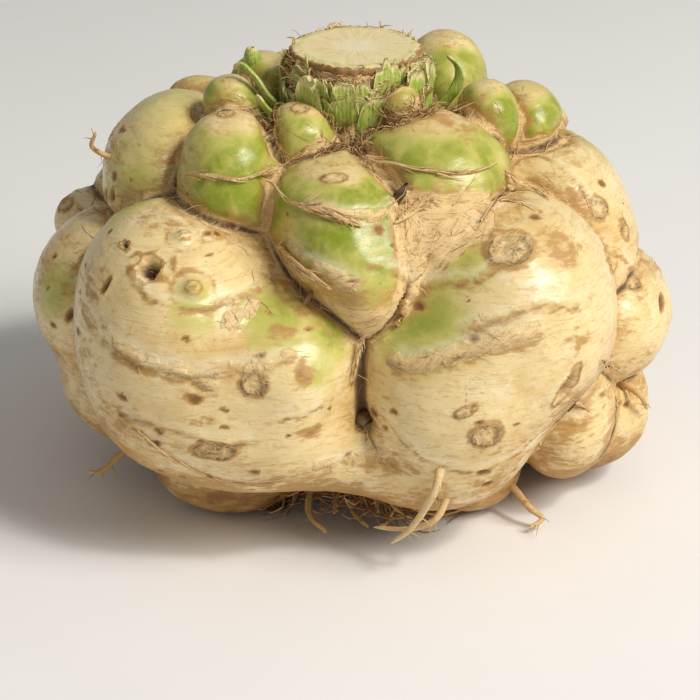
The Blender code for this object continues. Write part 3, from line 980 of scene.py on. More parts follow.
        beside_web = smoothstep(3.0, 0.2, zones.seam + 1.6 * rough(3)) * zones.beside("web") * 0.8
        sheet.stain_all(Tint.FIBRE, np.where(zones.on("web"), 0.72 + 0.3 * rough(4, 2), beside_web))
        taper = zones.on("knob_middle") * smoothstep(69, 60, zones.height + 4 * rough(5))
        sheet.tints[Tint.GREEN] *= 1 - 0.9 * taper
        sheet.stain_all(Tint.BROWN, taper * 0.4)
        sheet.stain_all(Tint.FIBRE, taper * smoothstep(62, 56, zones.height) * 0.7)

    def dry(self, sheet: Sheet, zones: Zones) -> None:
        """Fray the skin along the creases and round the crown; brown it beside the creases as painted shade, low
        down as stain and painted shade, and where it faces down and left as painted shade.
        """
        seam, high, height, rough = zones.seam, zones.high, zones.height, sheet.rough
        out = self.corm.stump.out_from_axis(sheet.points)
        collar = smoothstep(30, 18, out + 4 * rough(5, 2)) * smoothstep(70, 80, height)
        sheet.stain_all(Tint.FIBRE, collar * smoothstep(3.4, 1.0, seam + 2 * rough(3, 2)))
        width = 0.7 + 1.3 * high * np.clip(0.5 + 1.1 * rough(12, 2), 0.1, 1.5)
        ragged = seam + (0.6 + 0.6 * high) * rough(3.5)
        frayed = smoothstep(1.2, 0.5, ragged / width) * (0.7 + 0.3 * high) * (1 - 0.7 * zones.front)
        sheet.stain_all(Tint.FIBRE, np.maximum(frayed, 0.95 * zones.on_stump()))

        # Painted shade: brown deepening near the creases; the brown growing towards the bottom is partly stain,
        # partly painted shade.
        crease_shade_and_low_brown = 0.42 * smoothstep(9, 1, ragged) + 0.30 * smoothstep(44, 6, height)
        patchy = np.clip(0.62 + 0.9 * rough(10), 0.1, 1.2)
        sheet.stain_all(Tint.BROWN, np.clip(crease_shade_and_low_brown * patchy, 0, 0.75))
        # Painted shade: a brown border along the crease edges.
        sheet.stain_all(Tint.BROWN, smoothstep(2.4, 0.6, ragged / width) * 0.55)
        # Painted shade: skin facing down, and less so skin facing left, away from the lamps, is browned.
        down, left = -sheet.normals[:, 2], -sheet.normals[:, 0]
        painted_shade_below_left = smoothstep(-0.15, 0.9, down) + 0.35 * smoothstep(0.1, 0.9, left)
        sheet.stain_all(Tint.BROWN, np.clip(painted_shade_below_left * (0.45 + 0.6 * rough(9)), 0, 0.5))
        # Browner towards the bottom: partly stain, partly painted shade.
        low = smoothstep(22, 4, height + 5 * rough(7, 2))
        sheet.stain_all(Tint.BROWN, low * np.clip(0.72 + 0.8 * rough(6), 0.2, 1))

    def work(self, points: Array, normals: Array) -> Sheet:
        """Lift and tint the skin.

        Args:
            points: positions on the smooth skin, millimetres.
            normals: the way the skin faces at each.

        Returns:
            The worked sheet.
        """
        sheet, zones = Sheet(points, normals, Grain(self.seed)), Zones(self.corm, points)
        self.crease(sheet, zones)
        self.green(sheet, zones)
        self.dry(sheet, zones)
        for girdle in self.girdles:
            girdle.apply(sheet, self.corm)
        bearings, elevations = zip(*((mark.bearing, mark.elevation) for mark in self.marks))
        centres = self.corm.place(bearings, elevations)
        for mark, spot in zip(self.marks, zip(centres, unit(self.corm.slope(centres)))):
            mark.apply(sheet, spot)
        return sheet

    def build(self, maker: Maker, material: Material) -> Surface:
        """Make the skin piece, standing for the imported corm, and match the maker's frame to it."""
        made = self.refined()
        smooth = self.read(made)
        low, high = (np.array(corner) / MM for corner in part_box("corm"))
        maker.shift[:2] = ((low + high) / 2 - (smooth.min(0) + smooth.max(0)) / 2)[:2]
        sheet = self.work(smooth, self.facing(made))
        points = sheet.points + sheet.normals * sheet.lift[:, None]
        points[:, 2] = np.maximum(points[:, 2], 0.0)
        self.write(made, points)
        normals = self.facing(made)
        self.write(made, (points + maker.shift) * MM)
        for tint, values in sheet.tints.items():
            paint(made, tint.value, values)
        made.data.shade_smooth()
        made.data.materials.clear()
        made.data.materials.append(material)
        maker.settle(made, "skin", ("corm",))
        return Surface(points, normals, sheet)


# ---- threads, tubes and sheets -------------------------------------------------------------------
def curve(knots: Array, count: int) -> Array:
    """A smooth path of count points through the knots."""
    knots = np.asarray(knots, float)
    steps = np.linspace(0, len(knots) - 1, count)
    padded = np.vstack([2 * knots[0] - knots[1], knots, 2 * knots[-1] - knots[-2]])
    first = np.minimum(steps.astype(int), len(knots) - 2)
    t = (steps - first)[:, None]
    p0, p1, p2, p3 = (padded[first + k] for k in range(4))
    return 0.5 * (2 * p1 + (p2 - p0) * t + (2 * p0 - 5 * p1 + 4 * p2 - p3) * t ** 2
                  + (3 * p1 - p0 - 3 * p2 + p3) * t ** 3)


def turns(count: int) -> Array:
    """Even angles round a circle, radians."""
    return np.arange(count) * 2 * np.pi / count


def sweep(paths: Array, radii: Array, sides: int = 3, flat: float = 1.0,
          facing: Array | None = None) -> tuple[Array, Array, Array]:
    """Closed tubes along many paths of equal length.

    Args:
        paths: points of each path, shape (paths, steps, 3).
        radii: the radius at each point, shape (paths, steps).
        sides: corners of the section.
        flat: thickness of the section against its width.
        facing: the way the flat side looks, shape (paths, steps, 3); any way if left out.

    Returns:
        The points, the faces as four corners each, and how far along its path each point is.
    """
    count, steps = radii.shape
    ahead = unit(np.gradient(paths, axis=1))
    if facing is None:
        facing = np.broadcast_to(unit(np.array([0.31, 0.52, 0.79])), paths.shape)
    across = unit(np.cross(ahead, facing))
    up = np.cross(across, ahead)
    turn = turns(sides)
    ring = (across[:, :, None] * np.cos(turn)[:, None] + up[:, :, None] * flat * np.sin(turn)[:, None])
    points = (paths[:, :, None] + ring * radii[:, :, None, None]).reshape(-1, 3)
    start = (np.arange(count)[:, None, None] * steps + np.arange(steps - 1)[None, :, None]) * sides
    a = start + np.arange(sides)
    b = start + (np.arange(sides) + 1) % sides
    faces = np.stack([a, b, b + sides, a + sides], -1).reshape(-1, 4)
    along = np.broadcast_to(np.linspace(0, 1, steps)[None, :, None], (count, steps, sides)).reshape(-1)
    return points, faces, along


@dataclass
class Bundle:
    """Points, faces and tints gathered for one piece."""

    THREAD_SIDES = 4

    points: list[Array] = field(default_factory=list)
    faces: list[Array] = field(default_factory=list)
    tints: dict[str, list[Array]] = field(default_factory=dict)
    count: int = 0

    def add(self, points: Array, faces: Array, **tints: Array) -> None:
        """Add a patch with its tints."""
        self.points.append(points)
        self.faces.extend(np.asarray(faces) + self.count)
        self.count += len(points)
        for name, values in tints.items():
            self.tints.setdefault(name, []).append(np.broadcast_to(values, len(points)))

    def add_threads(self, lines: Array, radii: Array, shade: Array) -> None:
        """Add four-sided threads, each with its own shade."""
        points, faces, along = sweep(lines, radii, self.THREAD_SIDES)
        self.add(points, faces, shade=np.repeat(shade, lines.shape[1] * self.THREAD_SIDES), along=along)

    def build(self, maker: Maker, name: str, material: Material, slot: str,
              stands_for: Sequence[str] = ()) -> bpy.types.Object:
        """Make the piece and write its tints."""
        made = maker.piece(name, np.vstack(self.points), self.faces, material, slot, stands_for)
        for tint, values in self.tints.items():
            paint(made, tint, np.concatenate(values))
        return made


def lattice(rows: int, columns: int, closed: bool = False) -> Array:
    """Four-cornered faces over a grid of points, joined round the columns if closed."""
    across = columns if closed else columns - 1
    row, column = np.meshgrid(np.arange(rows - 1), np.arange(across), indexing="ij")
    a = row * columns + column
    b = row * columns + (column + 1) % columns
    return np.stack([a, b, b + columns, a + columns], -1).reshape(-1, 4)


# ---- finishes of the smaller pieces --------------------------------------------------------------
@dataclass(frozen=True)
class CutFinish:
    """The crown's knife cut: moist cream flesh with rays, a yellow ring and a dry brown rim."""

    flesh: Colour = (0.84, 0.71, 0.40)
    heart: Colour = (0.88, 0.78, 0.50)
    ray: Colour = (0.70, 0.52, 0.17)
    ring: Colour = (0.62, 0.58, 0.20)
    rim: Colour = (0.34, 0.19, 0.07)

    def material(self) -> Material:
        """Build the node tree, which reads how far out each point is."""
        g = Graph("crown_flesh")
        out = g.channel("out")
        wide = g.add("CombineXYZ", {0: g.times(g.channel("sine"), 11.0),
                                    1: g.times(g.channel("cosine"), 11.0),
                                    2: g.times(out, 2.2)}).outputs[0]
        rays = g.noise(wide, 1.0, 7, 0.7)
        mottle = g.noise(g.where(), 1.6, 5, 0.65)
        colour = g.mix(g.ramp(g.plus(out, g.times(mottle, 0.25)), 0.30, 0.62),
                       self.heart, self.flesh)
        zone = g.times(g.ramp(out, 0.16, 0.34), g.ramp(out, 0.95, 0.55))
        colour = g.mix(g.times(g.ramp(rays, 0.47, 0.66), g.times(zone, 0.75)),
                       colour, self.ray)
        band = g.times(g.ramp(out, 0.80, 0.88), g.ramp(out, 0.97, 0.90))
        colour = g.mix(g.times(band, g.ramp(mottle, 0.35, 0.6)), colour, self.ring)
        edge = g.plus(out, g.swing(mottle, 0.16))
        dry = g.ramp(edge, 0.94, 1.0)
        colour = g.mix(dry, colour, self.rim)
        normal = g.bump(g.plus(rays, mottle), 0.35, 0.5)
        return g.finish(Base_Color=colour, Roughness=g.ramp(dry, 0.0, 1.0, 0.42, 0.85), Normal=normal,
                        Specular_IOR_Level=0.45)


@dataclass(frozen=True)
class LeafFinish:
    """Fresh green leaf bases: ribbed, pale where cut and brown where the edge has dried."""

    green: Colour = (0.30, 0.42, 0.045)
    light: Colour = (0.56, 0.62, 0.17)
    pale: Colour = (0.74, 0.68, 0.32)
    dry: Colour = (0.42, 0.25, 0.10)

    def material(self, name: str) -> Material:
        """Build the node tree, which reads how torn each point is and where it is across the stalk."""
        g = Graph(name)
        torn, across = g.channel("torn"), g.channel("across")
        level = g.where((1.6, 1.6, 0.35))
        streak = g.noise(level, 0.8, 6, 0.65)
        cloud = g.noise(g.where(), 3.2, 4, 0.6)
        colour = g.mix(g.ramp(g.plus(streak, g.times(cloud, 0.6)), 0.62, 0.98),
                       self.green, self.light)
        ribs = g.maths('ABSOLUTE', g.maths('SINE', g.times(across, 11.0)))
        colour = g.mix(g.ramp(ribs, 0.35, 0.0, 0.0, 0.4), colour, self.green)
        edge = g.plus(torn, g.swing(streak, 0.55))
        colour = g.mix(g.ramp(edge, 0.25, 0.62), colour, self.pale)
        fleck = g.times(g.ramp(g.noise(g.where(), 0.9, 5, 0.7), 0.52, 0.66), g.ramp(edge, 0.45, 0.8))
        colour = g.mix(fleck, colour, self.dry)
        normal = g.bump(g.plus(g.times(ribs, 0.5), streak), 0.35, 0.6)
        return g.finish(Base_Color=colour, Roughness=g.ramp(edge, 0.2, 0.8, 0.36, 0.75), Normal=normal,
                        Specular_IOR_Level=0.5)


@dataclass(frozen=True)
class FibreFinish:
    """Dry roots and torn fibres: streaked tan that varies from thread to thread."""

    name: str = "dry_fibre"
    light: Colour = (0.80, 0.60, 0.32)
    middle: Colour = (0.56, 0.35, 0.14)
    dark: Colour = (0.20, 0.10, 0.035)
    roughness: float = 0.75

    def material(self) -> Material:
        """Build the node tree, which reads the shade of each thread."""
        g = Graph(self.name)
        shade, along = g.channel("shade"), g.channel("along")
        grain = g.noise(g.where(), 0.7, 5, 0.65)
        tone = g.plus(shade, g.swing(grain, 0.7))
        colour = g.mix(g.ramp(tone, 0.0, 0.5), self.dark, self.middle)
        colour = g.mix(g.ramp(tone, 0.4, 1.0), colour, self.light)
        colour = g.mix(g.ramp(along, 0.8, 1.0, 0.0, 0.35), colour, self.light)
        normal = g.bump(grain, 0.2, 0.6)
        return g.finish(Base_Color=colour, Roughness=self.roughness, Normal=normal, Specular_IOR_Level=0.3)


# ---- the crown -----------------------------------------------------------------------------------
@dataclass(frozen=True)
class CrownCut:
    """The knife cut across the crown: a shallow, rayed disc with a ragged rim that turns down."""

    stump: Stump
    overhang: float = 0.55
    above: float = 0.35
    drop: float = 1.5
    rings: int = 26
    sides: int = 160
    seed: int = 31

    def build(self, maker: Maker, material: Material) -> bpy.types.Object:
        """Make the disc."""
        grain = Grain(self.seed)
        turn = turns(self.sides)
        way = np.stack([np.cos(turn), np.sin(turn), 0 * turn], 1)
        ragged = 1 + 0.05 * grain.layered(way * 9, 2.0, 3) + 0.03 * grain.layered(way * 34, 2.0, 2)
        bundle, rows = Bundle(), []
        share = np.concatenate([np.linspace(0.0, 1.0, self.rings) ** 0.8, [1.012, 1.0, 0.985]])
        sink = np.concatenate([np.zeros(self.rings), [0.25, 1.0, self.drop]])
        for out, down in zip(share, sink):
            torn = 1 + (ragged - 1) * smoothstep(0.5, 1.0, np.array(out))
            radius = (self.stump.r_top + self.overhang) * torn
            flat = np.stack([self.stump.centre[0] + way[:, 0] * radius * out,
                             self.stump.centre[1] + way[:, 1] * radius * out], 1)
            place = np.column_stack([flat, np.zeros(self.sides)])
            rough = 0.10 * grain.layered(place, 3.0, 3) + 0.35 * grain.layered(place, 1.1, 2) * smoothstep(
                0.86, 1.0, np.array(out))
            height = self.stump.cut_height(flat[:, 1]) + self.above + rough - down - 0.25 * smoothstep(
                0.88, 1.0, np.array(out))
            rows.append((np.column_stack([flat, height]), out, down))
        points = np.vstack([row for row, _, _ in rows])
        out = np.repeat([min(o, 1.0) + min(d, 1) * 0.1 for _, o, d in rows], self.sides)
        bundle.add(points, lattice(len(rows), self.sides, closed=True), out=out,
                   sine=np.tile(way[:, 1], len(rows)), cosine=np.tile(way[:, 0], len(rows)))
        return bundle.build(maker, "crown_cut", material, "skin")


@dataclass(frozen=True)
class Sheath:
    """One leaf base hugging the crown: a curved scale whose edges roll outward, solid and ragged."""

    bearing: float
    foot: float
    height: float
    half_width: float
    thickness: float = 1.1
    lean: float = 1.4
    bow: float = 0.9
    ragged: float = 1.0
    rows: int = 16
    columns: int = 17

    def shell(self, stump: Stump, grain: Grain, sink: float = 0.5) -> tuple[Array, Array, Array, Array]:
        """The scale's points, faces, tear and place across."""
        turn = math.radians(self.bearing)
        outward = np.array([math.sin(turn), -math.cos(turn), 0.0])
        side = np.array([math.cos(turn), math.sin(turn), 0.0])
        v, u = np.meshgrid(np.linspace(0, 1, self.rows), np.linspace(-1, 1, self.columns), indexing="ij")
        noise = grain.layered(np.stack([u[0] * 6 + self.bearing, u[0] * 0, u[0] * 0 + self.foot], 1), 1.6, 3)
        tall = self.height * (1 - 0.16 * u[0] ** 4 + 0.13 * self.ragged * noise)
        high = self.foot + v * tall
        wide = self.half_width * (1 - 0.14 * v ** 1.5)
        radius = stump.radius_at(high) - sink - 1.8 * (1 - v) ** 4 + self.lean * v ** 2
        radius += self.bow * v * np.abs(u) ** 3
        radius += 0.12 * grain.layered(np.stack([u * 5, v * 3, v * 0 + self.bearing], -1).reshape(-1, 3),
                                       1.0, 2).reshape(v.shape)
        bend = u * wide
        round_off = bend ** 2 / (2 * stump.r_base)
        thick = self.thickness * (1 - 0.45 * v) * np.sqrt(np.clip(1 - np.abs(u) ** 4, 0.06, 1))
        sheets = []
        for layer in (radius + thick, radius):
            points = (outward * (layer - round_off)[..., None] + side * bend[..., None])
            points[..., :2] += np.array(stump.centre)
            points[..., 2] = high
            sheets.append(points.reshape(-1, 3))
        faces = lattice(self.rows, self.columns)
        count = self.rows * self.columns
        border = np.concatenate([np.arange(self.columns),
                                 np.arange(1, self.rows) * self.columns + self.columns - 1,
                                 count - 2 - np.arange(self.columns - 1),
                                 np.arange(self.rows - 2, 0, -1) * self.columns])
        after = np.roll(border, -1)
        wall = np.stack([border, after, after + count, border + count], -1)
        every = np.vstack([faces[:, ::-1], faces + count, wall[:, ::-1]])
        torn = np.clip(np.maximum((v - 0.8) / 0.2, (np.abs(u) - 0.84) / 0.16 * (0.2 + 0.5 * v)), 0, 1).ravel()
        return np.vstack(sheets), every, np.tile(torn, 2), np.tile(u.ravel(), 2)


@dataclass(frozen=True)
class StalkStub(Sheath):
    """A cut leaf stalk that stands up from the crown's foot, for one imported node."""

    node: str = ""
    ragged: float = 0.5

    def build(self, maker: Maker, stump: Stump, material: Material) -> bpy.types.Object:
        """Make the stub."""
        points, faces, torn, across = self.shell(stump, Grain(41), sink=0.1)
        bundle = Bundle()
        bundle.add(points, faces, torn=torn, across=across)
        return bundle.build(maker, self.node, material, "stalk_green", (self.node,))


def draw(rng: np.random.Generator, span: Span) -> float:
    """A random value between two limits, or their one value, without a draw, where they are equal."""
    return span[0] if span[0] == span[1] else rng.uniform(*span)


@dataclass(frozen=True)
class ScaleRow:
    """A row of leaf bases round the crown, whose measures lie between limits; a sway of 0 strews them."""

    count: int
    sway: float
    foot: Span
    height: Span
    half_width: Span
    thickness: Span
    lean: Span
    bow: Span
    ragged: float
    sink: float = 0.4
    tear: Span = (0.0, 0.0)

    def sheaths(self, rng: np.random.Generator) -> Iterator[Sheath]:
        """Draw the leaf bases one by one."""
        spans = (self.foot, self.height, self.half_width, self.thickness, self.lean, self.bow)
        for number in range(self.count):
            even = 360 * number / self.count
            bearing = even + rng.normal(0, self.sway) if self.sway else rng.uniform(0, 360)
            yield Sheath(bearing, *[draw(rng, span) for span in spans], self.ragged)


SCALE_ROWS: tuple[ScaleRow, ...] = (
    ScaleRow(13, 7, (81, 84), (5, 9.5), (4.2, 6.6), (1.0, 1.5), (0.8, 1.9), (0.4, 1.1), 1.1),
    ScaleRow(7, 0, (82, 86), (7, 10.5), (1.4, 2.6), (0.8, 0.8), (2.2, 4.2), (0.8, 1.8), 1.6),
    ScaleRow(17, 9, (86, 88.5), (6, 9.6), (2.6, 5.0), (0.6, 1.0), (0.2, 0.9), (0.1, 0.7), 2.0,
             0.3, (0.0, 0.35)),
)


@dataclass(frozen=True)
class LeafScales:
    """All the short, broken leaf bases round the crown, as one piece."""

    stump: Stump
    rows: tuple[ScaleRow, ...] = SCALE_ROWS
    seed: int = 5

    def build(self, maker: Maker, material: Material) -> bpy.types.Object:
        """Make a wide lower row, curls strewn over it and a narrow upper row."""
        rng, grain, bundle = np.random.default_rng(self.seed), Grain(43), Bundle()
        for row in self.rows:
            for sheath in row.sheaths(rng):
                points, faces, torn, across = sheath.shell(self.stump, grain, row.sink)
                bundle.add(points, faces, torn=np.clip(torn + draw(rng, row.tear), 0, 1), across=across)
        return bundle.build(maker, "leaf_scales", material, "stalk_green")


# ---- roots, strands and threads ------------------------------------------------------------------
@dataclass(frozen=True)
class Root:
    """A rootlet or shoot along a path: uneven, tapered, with fine side hairs."""

    HAIR_STEPS = 7
    HAIR_RADIUS = 0.16

    name: str
    path: tuple[Triple, ...]
    foot: float
    tip: float
    shade: float = 0.65
    hairs: int = 5
    flat: float = 1.0
    sides: int = 10
    steps: int = 40

    def paths(self, grain: Grain) -> tuple[Array, Array]:
        """The wandering path and its radii."""
        path = curve(np.array(self.path), self.steps)
        t = np.linspace(0, 1, self.steps)
        wander = np.stack([grain.layered(path + shift, 5.0, 2) for shift in (0.0, 31.0, 67.0)], 1)
        path = path + wander * (0.45 * np.sin(np.pi * t))[:, None]
        radii = (self.foot + (self.tip - self.foot) * t) * (1 + 0.16 * grain.layered(path, 1.7, 3))
        radii[-3:] *= np.array([0.85, 0.6, 0.25])
        return path, radii

    def build(self, maker: Maker, material: Material, slot: str) -> bpy.types.Object:
        """Make the piece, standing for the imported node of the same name."""
        grain, bundle = Grain(51), Bundle()
        path, radii = self.paths(grain)
        points, faces, along = sweep(path[None], radii[None], self.sides, self.flat)
        across = np.tile(np.cos(turns(self.sides)), self.steps)
        bundle.add(points, faces, shade=self.shade + 0.2 * (along - 0.5), along=along, torn=along ** 5,
                   across=across)
        rng = np.random.default_rng(abs(int(self.path[0][0] * 131 + self.path[0][2] * 17)))
        if self.hairs:
            start = rng.integers(8, self.steps - 2, self.hairs)
            way = unit(rng.normal(0, 1, (self.hairs, 3)) + np.array([0, -0.3, -0.2]))
            reach = rng.uniform(1.2, 4.0, self.hairs)
            t = np.linspace(0, 1, self.HAIR_STEPS)
            hair = path[start][:, None] + way[:, None] * (t[None, :, None] * reach[:, None, None])
            hair[:, :, 2] -= 0.6 * t ** 2
            hair[:, :, 2] = np.maximum(hair[:, :, 2], 0.3)
            thin = np.broadcast_to((self.HAIR_RADIUS * (1 - 0.75 * t))[None], (self.hairs, self.HAIR_STEPS))
            points, faces, along = sweep(hair, thin, 4)
            bundle.add(points, faces, shade=self.shade * 0.8, along=along, torn=along, across=0 * along)
        return bundle.build(maker, self.name, material, slot, (self.name,))


@dataclass(frozen=True)
class DryStrand:
    """A dried strip of torn skin lying in a crease or across a knob."""

    name: str
    path: tuple[Bearing, ...]
    width: float = 1.5
    lift: float = 0.9
    replaces_node: bool = True
    steps: int = 44
    frays: int = 26
    fray_steps: int = 8

    def build(self, maker: Maker, corm: Corm, material: Material) -> bpy.types.Object:
        """Make the strip and the threads that fray from it."""
        knots, steps, count = np.array(self.path), self.steps, self.frays
        smooth = curve(np.column_stack([knots, knots[:, 0] * 0]), steps)[:, :2]
        base = corm.place(smooth[:, 0], smooth[:, 1])
        normals = unit(corm.slope(base))
        t = np.linspace(0, 1, steps)
        grain = Grain(61)
        bundle, rng = Bundle(), np.random.default_rng(len(self.path) * 7 + int(abs(knots[0, 0])))
        lift = self.lift * (0.6 + 0.4 * np.sin(np.pi * t)) + 0.35 * grain.layered(base, 3.0, 2)
        path = base + normals * lift[:, None]
        taper = np.clip(np.sin(np.pi * t) ** 0.5, 0.12, 1) * (1 + 0.3 * grain.layered(base, 2.0, 3))
        points, faces, along = sweep(path[None], (self.width * taper)[None], 10, 0.32, normals[None])
        bundle.add(points, faces, shade=0.7, along=along * 0.7)
        start = rng.integers(2, steps - self.fray_steps, count)
        reach = rng.integers(5, 9, count)
        t = np.linspace(0, 1, self.fray_steps)
        index = np.minimum(start[:, None] + t[None] * reach[:, None], steps - 1.0)
        low = index.astype(int)
        share = (index - low)[..., None]
        line = path[low] * (1 - share) + path[np.minimum(low + 1, steps - 1)] * share
        side = np.cross(normals[start], unit(np.gradient(path, axis=0))[start])
        drift = rng.normal(0, 1, (count, 1, 1)) * self.width
        line = line + side[:, None] * drift * (0.4 + t[None, :, None]) + normals[start][:, None] * (
            0.25 + 0.5 * t[None, :, None] * rng.random((count, 1, 1)))
        thin = np.broadcast_to((0.2 * (1 - 0.7 * t))[None], (count, self.fray_steps))
        bundle.add_threads(line, thin, rng.uniform(0.3, 1.0, count))
        stands_for = (self.name,) if self.replaces_node else ()
        return bundle.build(maker, self.name, material, "dry_strand", stands_for)


@dataclass(frozen=True)
class Threads:
    """Hundreds of fine fibres that start on the skin and run over it along the creases."""

    name: str
    count: int
    length: Span
    height: Span
    radius: Span
    shade: Span
    stray: float
    seed: int
    steps: int = 8

    def build(self, maker: Maker, surface: Surface, where: Array, material: Material) -> bpy.types.Object:
        """Make the threads.

        Args:
            maker: places the piece.
            surface: the skin they lie on.
            where: how likely each skin point is to carry a thread.
            material: their finish.

        Returns:
            The piece.
        """
        rng = np.random.default_rng(self.seed)
        count = self.count // 1
        number = rng.choice(len(where), count, p=where / where.sum())
        ahead = surface.along_seam(number, rng, self.stray)
        length = rng.uniform(*self.length, count)
        t = np.linspace(0, 1, self.steps)
        line = surface.points[number][:, None] + ahead[:, None] * (t[None, :, None] * length[:, None, None])
        bend = np.cross(ahead, surface.normals[number])[:, None]
        sway = rng.normal(0, 0.22, (count, 1, 1))
        line = line + bend * (sway * length[:, None, None] * t[None, :, None] ** 2)
        lift = rng.uniform(*self.height, count)[:, None] * (t[None] + 0.6 * np.sin(np.pi * t)[None]) - 0.15
        line = surface.drape(line, lift.reshape(-1)).reshape(line.shape)
        line[:, 1:-1] = (line[:, :-2] + 2 * line[:, 1:-1] + line[:, 2:]) / 4
        line += rng.normal(0, 0.08, line.shape)
        line[:, :, 2] = np.maximum(line[:, :, 2], 0.4)
        radii = rng.uniform(*self.radius, count)[:, None] * (1 - 0.65 * t[None] ** 2)
        bundle = Bundle()
        bundle.add_threads(line, radii, rng.uniform(*self.shade, count))
        return bundle.build(maker, self.name, material, "dry_strand")


@dataclass(frozen=True)
class RimFibres:
    """The frayed fringe under the knife cut."""

    stump: Stump
    count: int = 420
    heights: Span = (89.5, 97.4)
    steps: int = 7
    seed: int = 9

    def build(self, maker: Maker, material: Material) -> bpy.types.Object:
        """Make the fringe."""
        rng = np.random.default_rng(self.seed)
        count = self.count
        turn = rng.uniform(0, 2 * np.pi, count)
        outward = np.stack([np.cos(turn), np.sin(turn), 0 * turn], 1)
        around = np.stack([-np.sin(turn), np.cos(turn), 0 * turn], 1)
        height = rng.uniform(*self.heights, count)
        radius = self.stump.radius_at(height) + 0.1
        foot = np.column_stack([self.stump.centre[0] + outward[:, 0] * radius,
                                self.stump.centre[1] + outward[:, 1] * radius,
                                height + (self.stump.cut_height(outward[:, 1] * 12) - self.stump.top)])
        way = unit(around * rng.normal(0, 1.0, (count, 1)) + outward * rng.uniform(0.1, 0.55, (count, 1))
                   + np.array([0, 0, 1]) * rng.normal(-0.15, 0.5, (count, 1)))
        length = rng.uniform(1.2, 5.0, count)
        t = np.linspace(0, 1, self.steps)
        line = foot[:, None] + way[:, None] * (t[None, :, None] * length[:, None, None])
        sag = (line[:, :, :2] - np.array(self.stump.centre))
        out = np.linalg.norm(sag, axis=2, keepdims=True)
        floor_radius = self.stump.radius_at(line[:, :, 2:3]) + 0.2
        line[:, :, :2] = np.array(self.stump.centre) + sag * np.maximum(out, floor_radius) / out
        line += rng.normal(0, 0.12, line.shape)
        limit = self.stump.cut_height(line[:, :, 1]) + 0.9
        line[:, :, 2] = np.minimum(line[:, :, 2], limit)
        radii = rng.uniform(0.10, 0.34, count)[:, None] * (1 - 0.7 * t[None])
        bundle = Bundle()
        bundle.add_threads(line, radii, rng.uniform(0.25, 1.0, count))
        return bundle.build(maker, "crown_fringe", material, "dry_strand")


@dataclass(frozen=True)
class FibreGround:
    """How likely each skin point is to carry a fine fibre, for each kind of fibre."""

    surface: Surface
    stump: Stump

    EVERYWHERE = 1e-9

    def moat(self) -> Array:
        """The ring round the crown's foot, between the knobs."""
        height, out = self.surface.points[:, 2], self.stump.out_from_axis(self.surface.points)
        ring = bell(out - 18, 5) * smoothstep(72, 80, height) * smoothstep(95, 88, height)
        return ring * smoothstep(3.2, 0.8, self.surface.sheet.tints[Tint.SEAM])

    def hollow(self) -> Array:
        """The hollow between the two front feet."""
        x, y, height = self.surface.points.T
        return bell(x, 10) * smoothstep(15, 6, height) * smoothstep(-8, -20, y) + self.EVERYWHERE

    def creases(self) -> Array:
        """The creases, most of all high up."""
        high = 0.12 + smoothstep(48, 72, self.surface.points[:, 2])
        return bell(self.surface.sheet.tints[Tint.SEAM], 1.6) * high

    def torn(self) -> Array:
        """Torn, fibrous skin away from the creases."""
        tints = self.surface.sheet.tints
        return tints[Tint.FIBRE] ** 2 * smoothstep(1.5, 4, tints[Tint.SEAM]) + self.EVERYWHERE

    def threads(self) -> Iterator[tuple[Threads, Array]]:
        """Each kind of fine fibre and where it grows."""
        yield (Threads("moat_fibres", 1500, (1.2, 4.5), (0.1, 1.6), (0.05, 0.17), (0.0, 0.8), 1.2, 3),
               self.moat())
        # The roots in the hollow take the darkest shades, partly as painted shade for the hollow.
        yield (Threads("hollow_roots", 260, (4, 13), (0.5, 5.0), (0.12, 0.38), (-0.2, 0.35), 1.5, 6),
               self.hollow())
        yield (Threads("crease_fibres", 1300, (3, 12), (0.0, 0.35), (0.04, 0.12), (0.2, 1.0), 0.35, 4),
               self.creases())
        yield (Threads("torn_fibres", 900, (1.0, 4.5), (0.0, 0.35), (0.05, 0.13), (0.4, 1.0), 0.6, 5),
               self.torn())


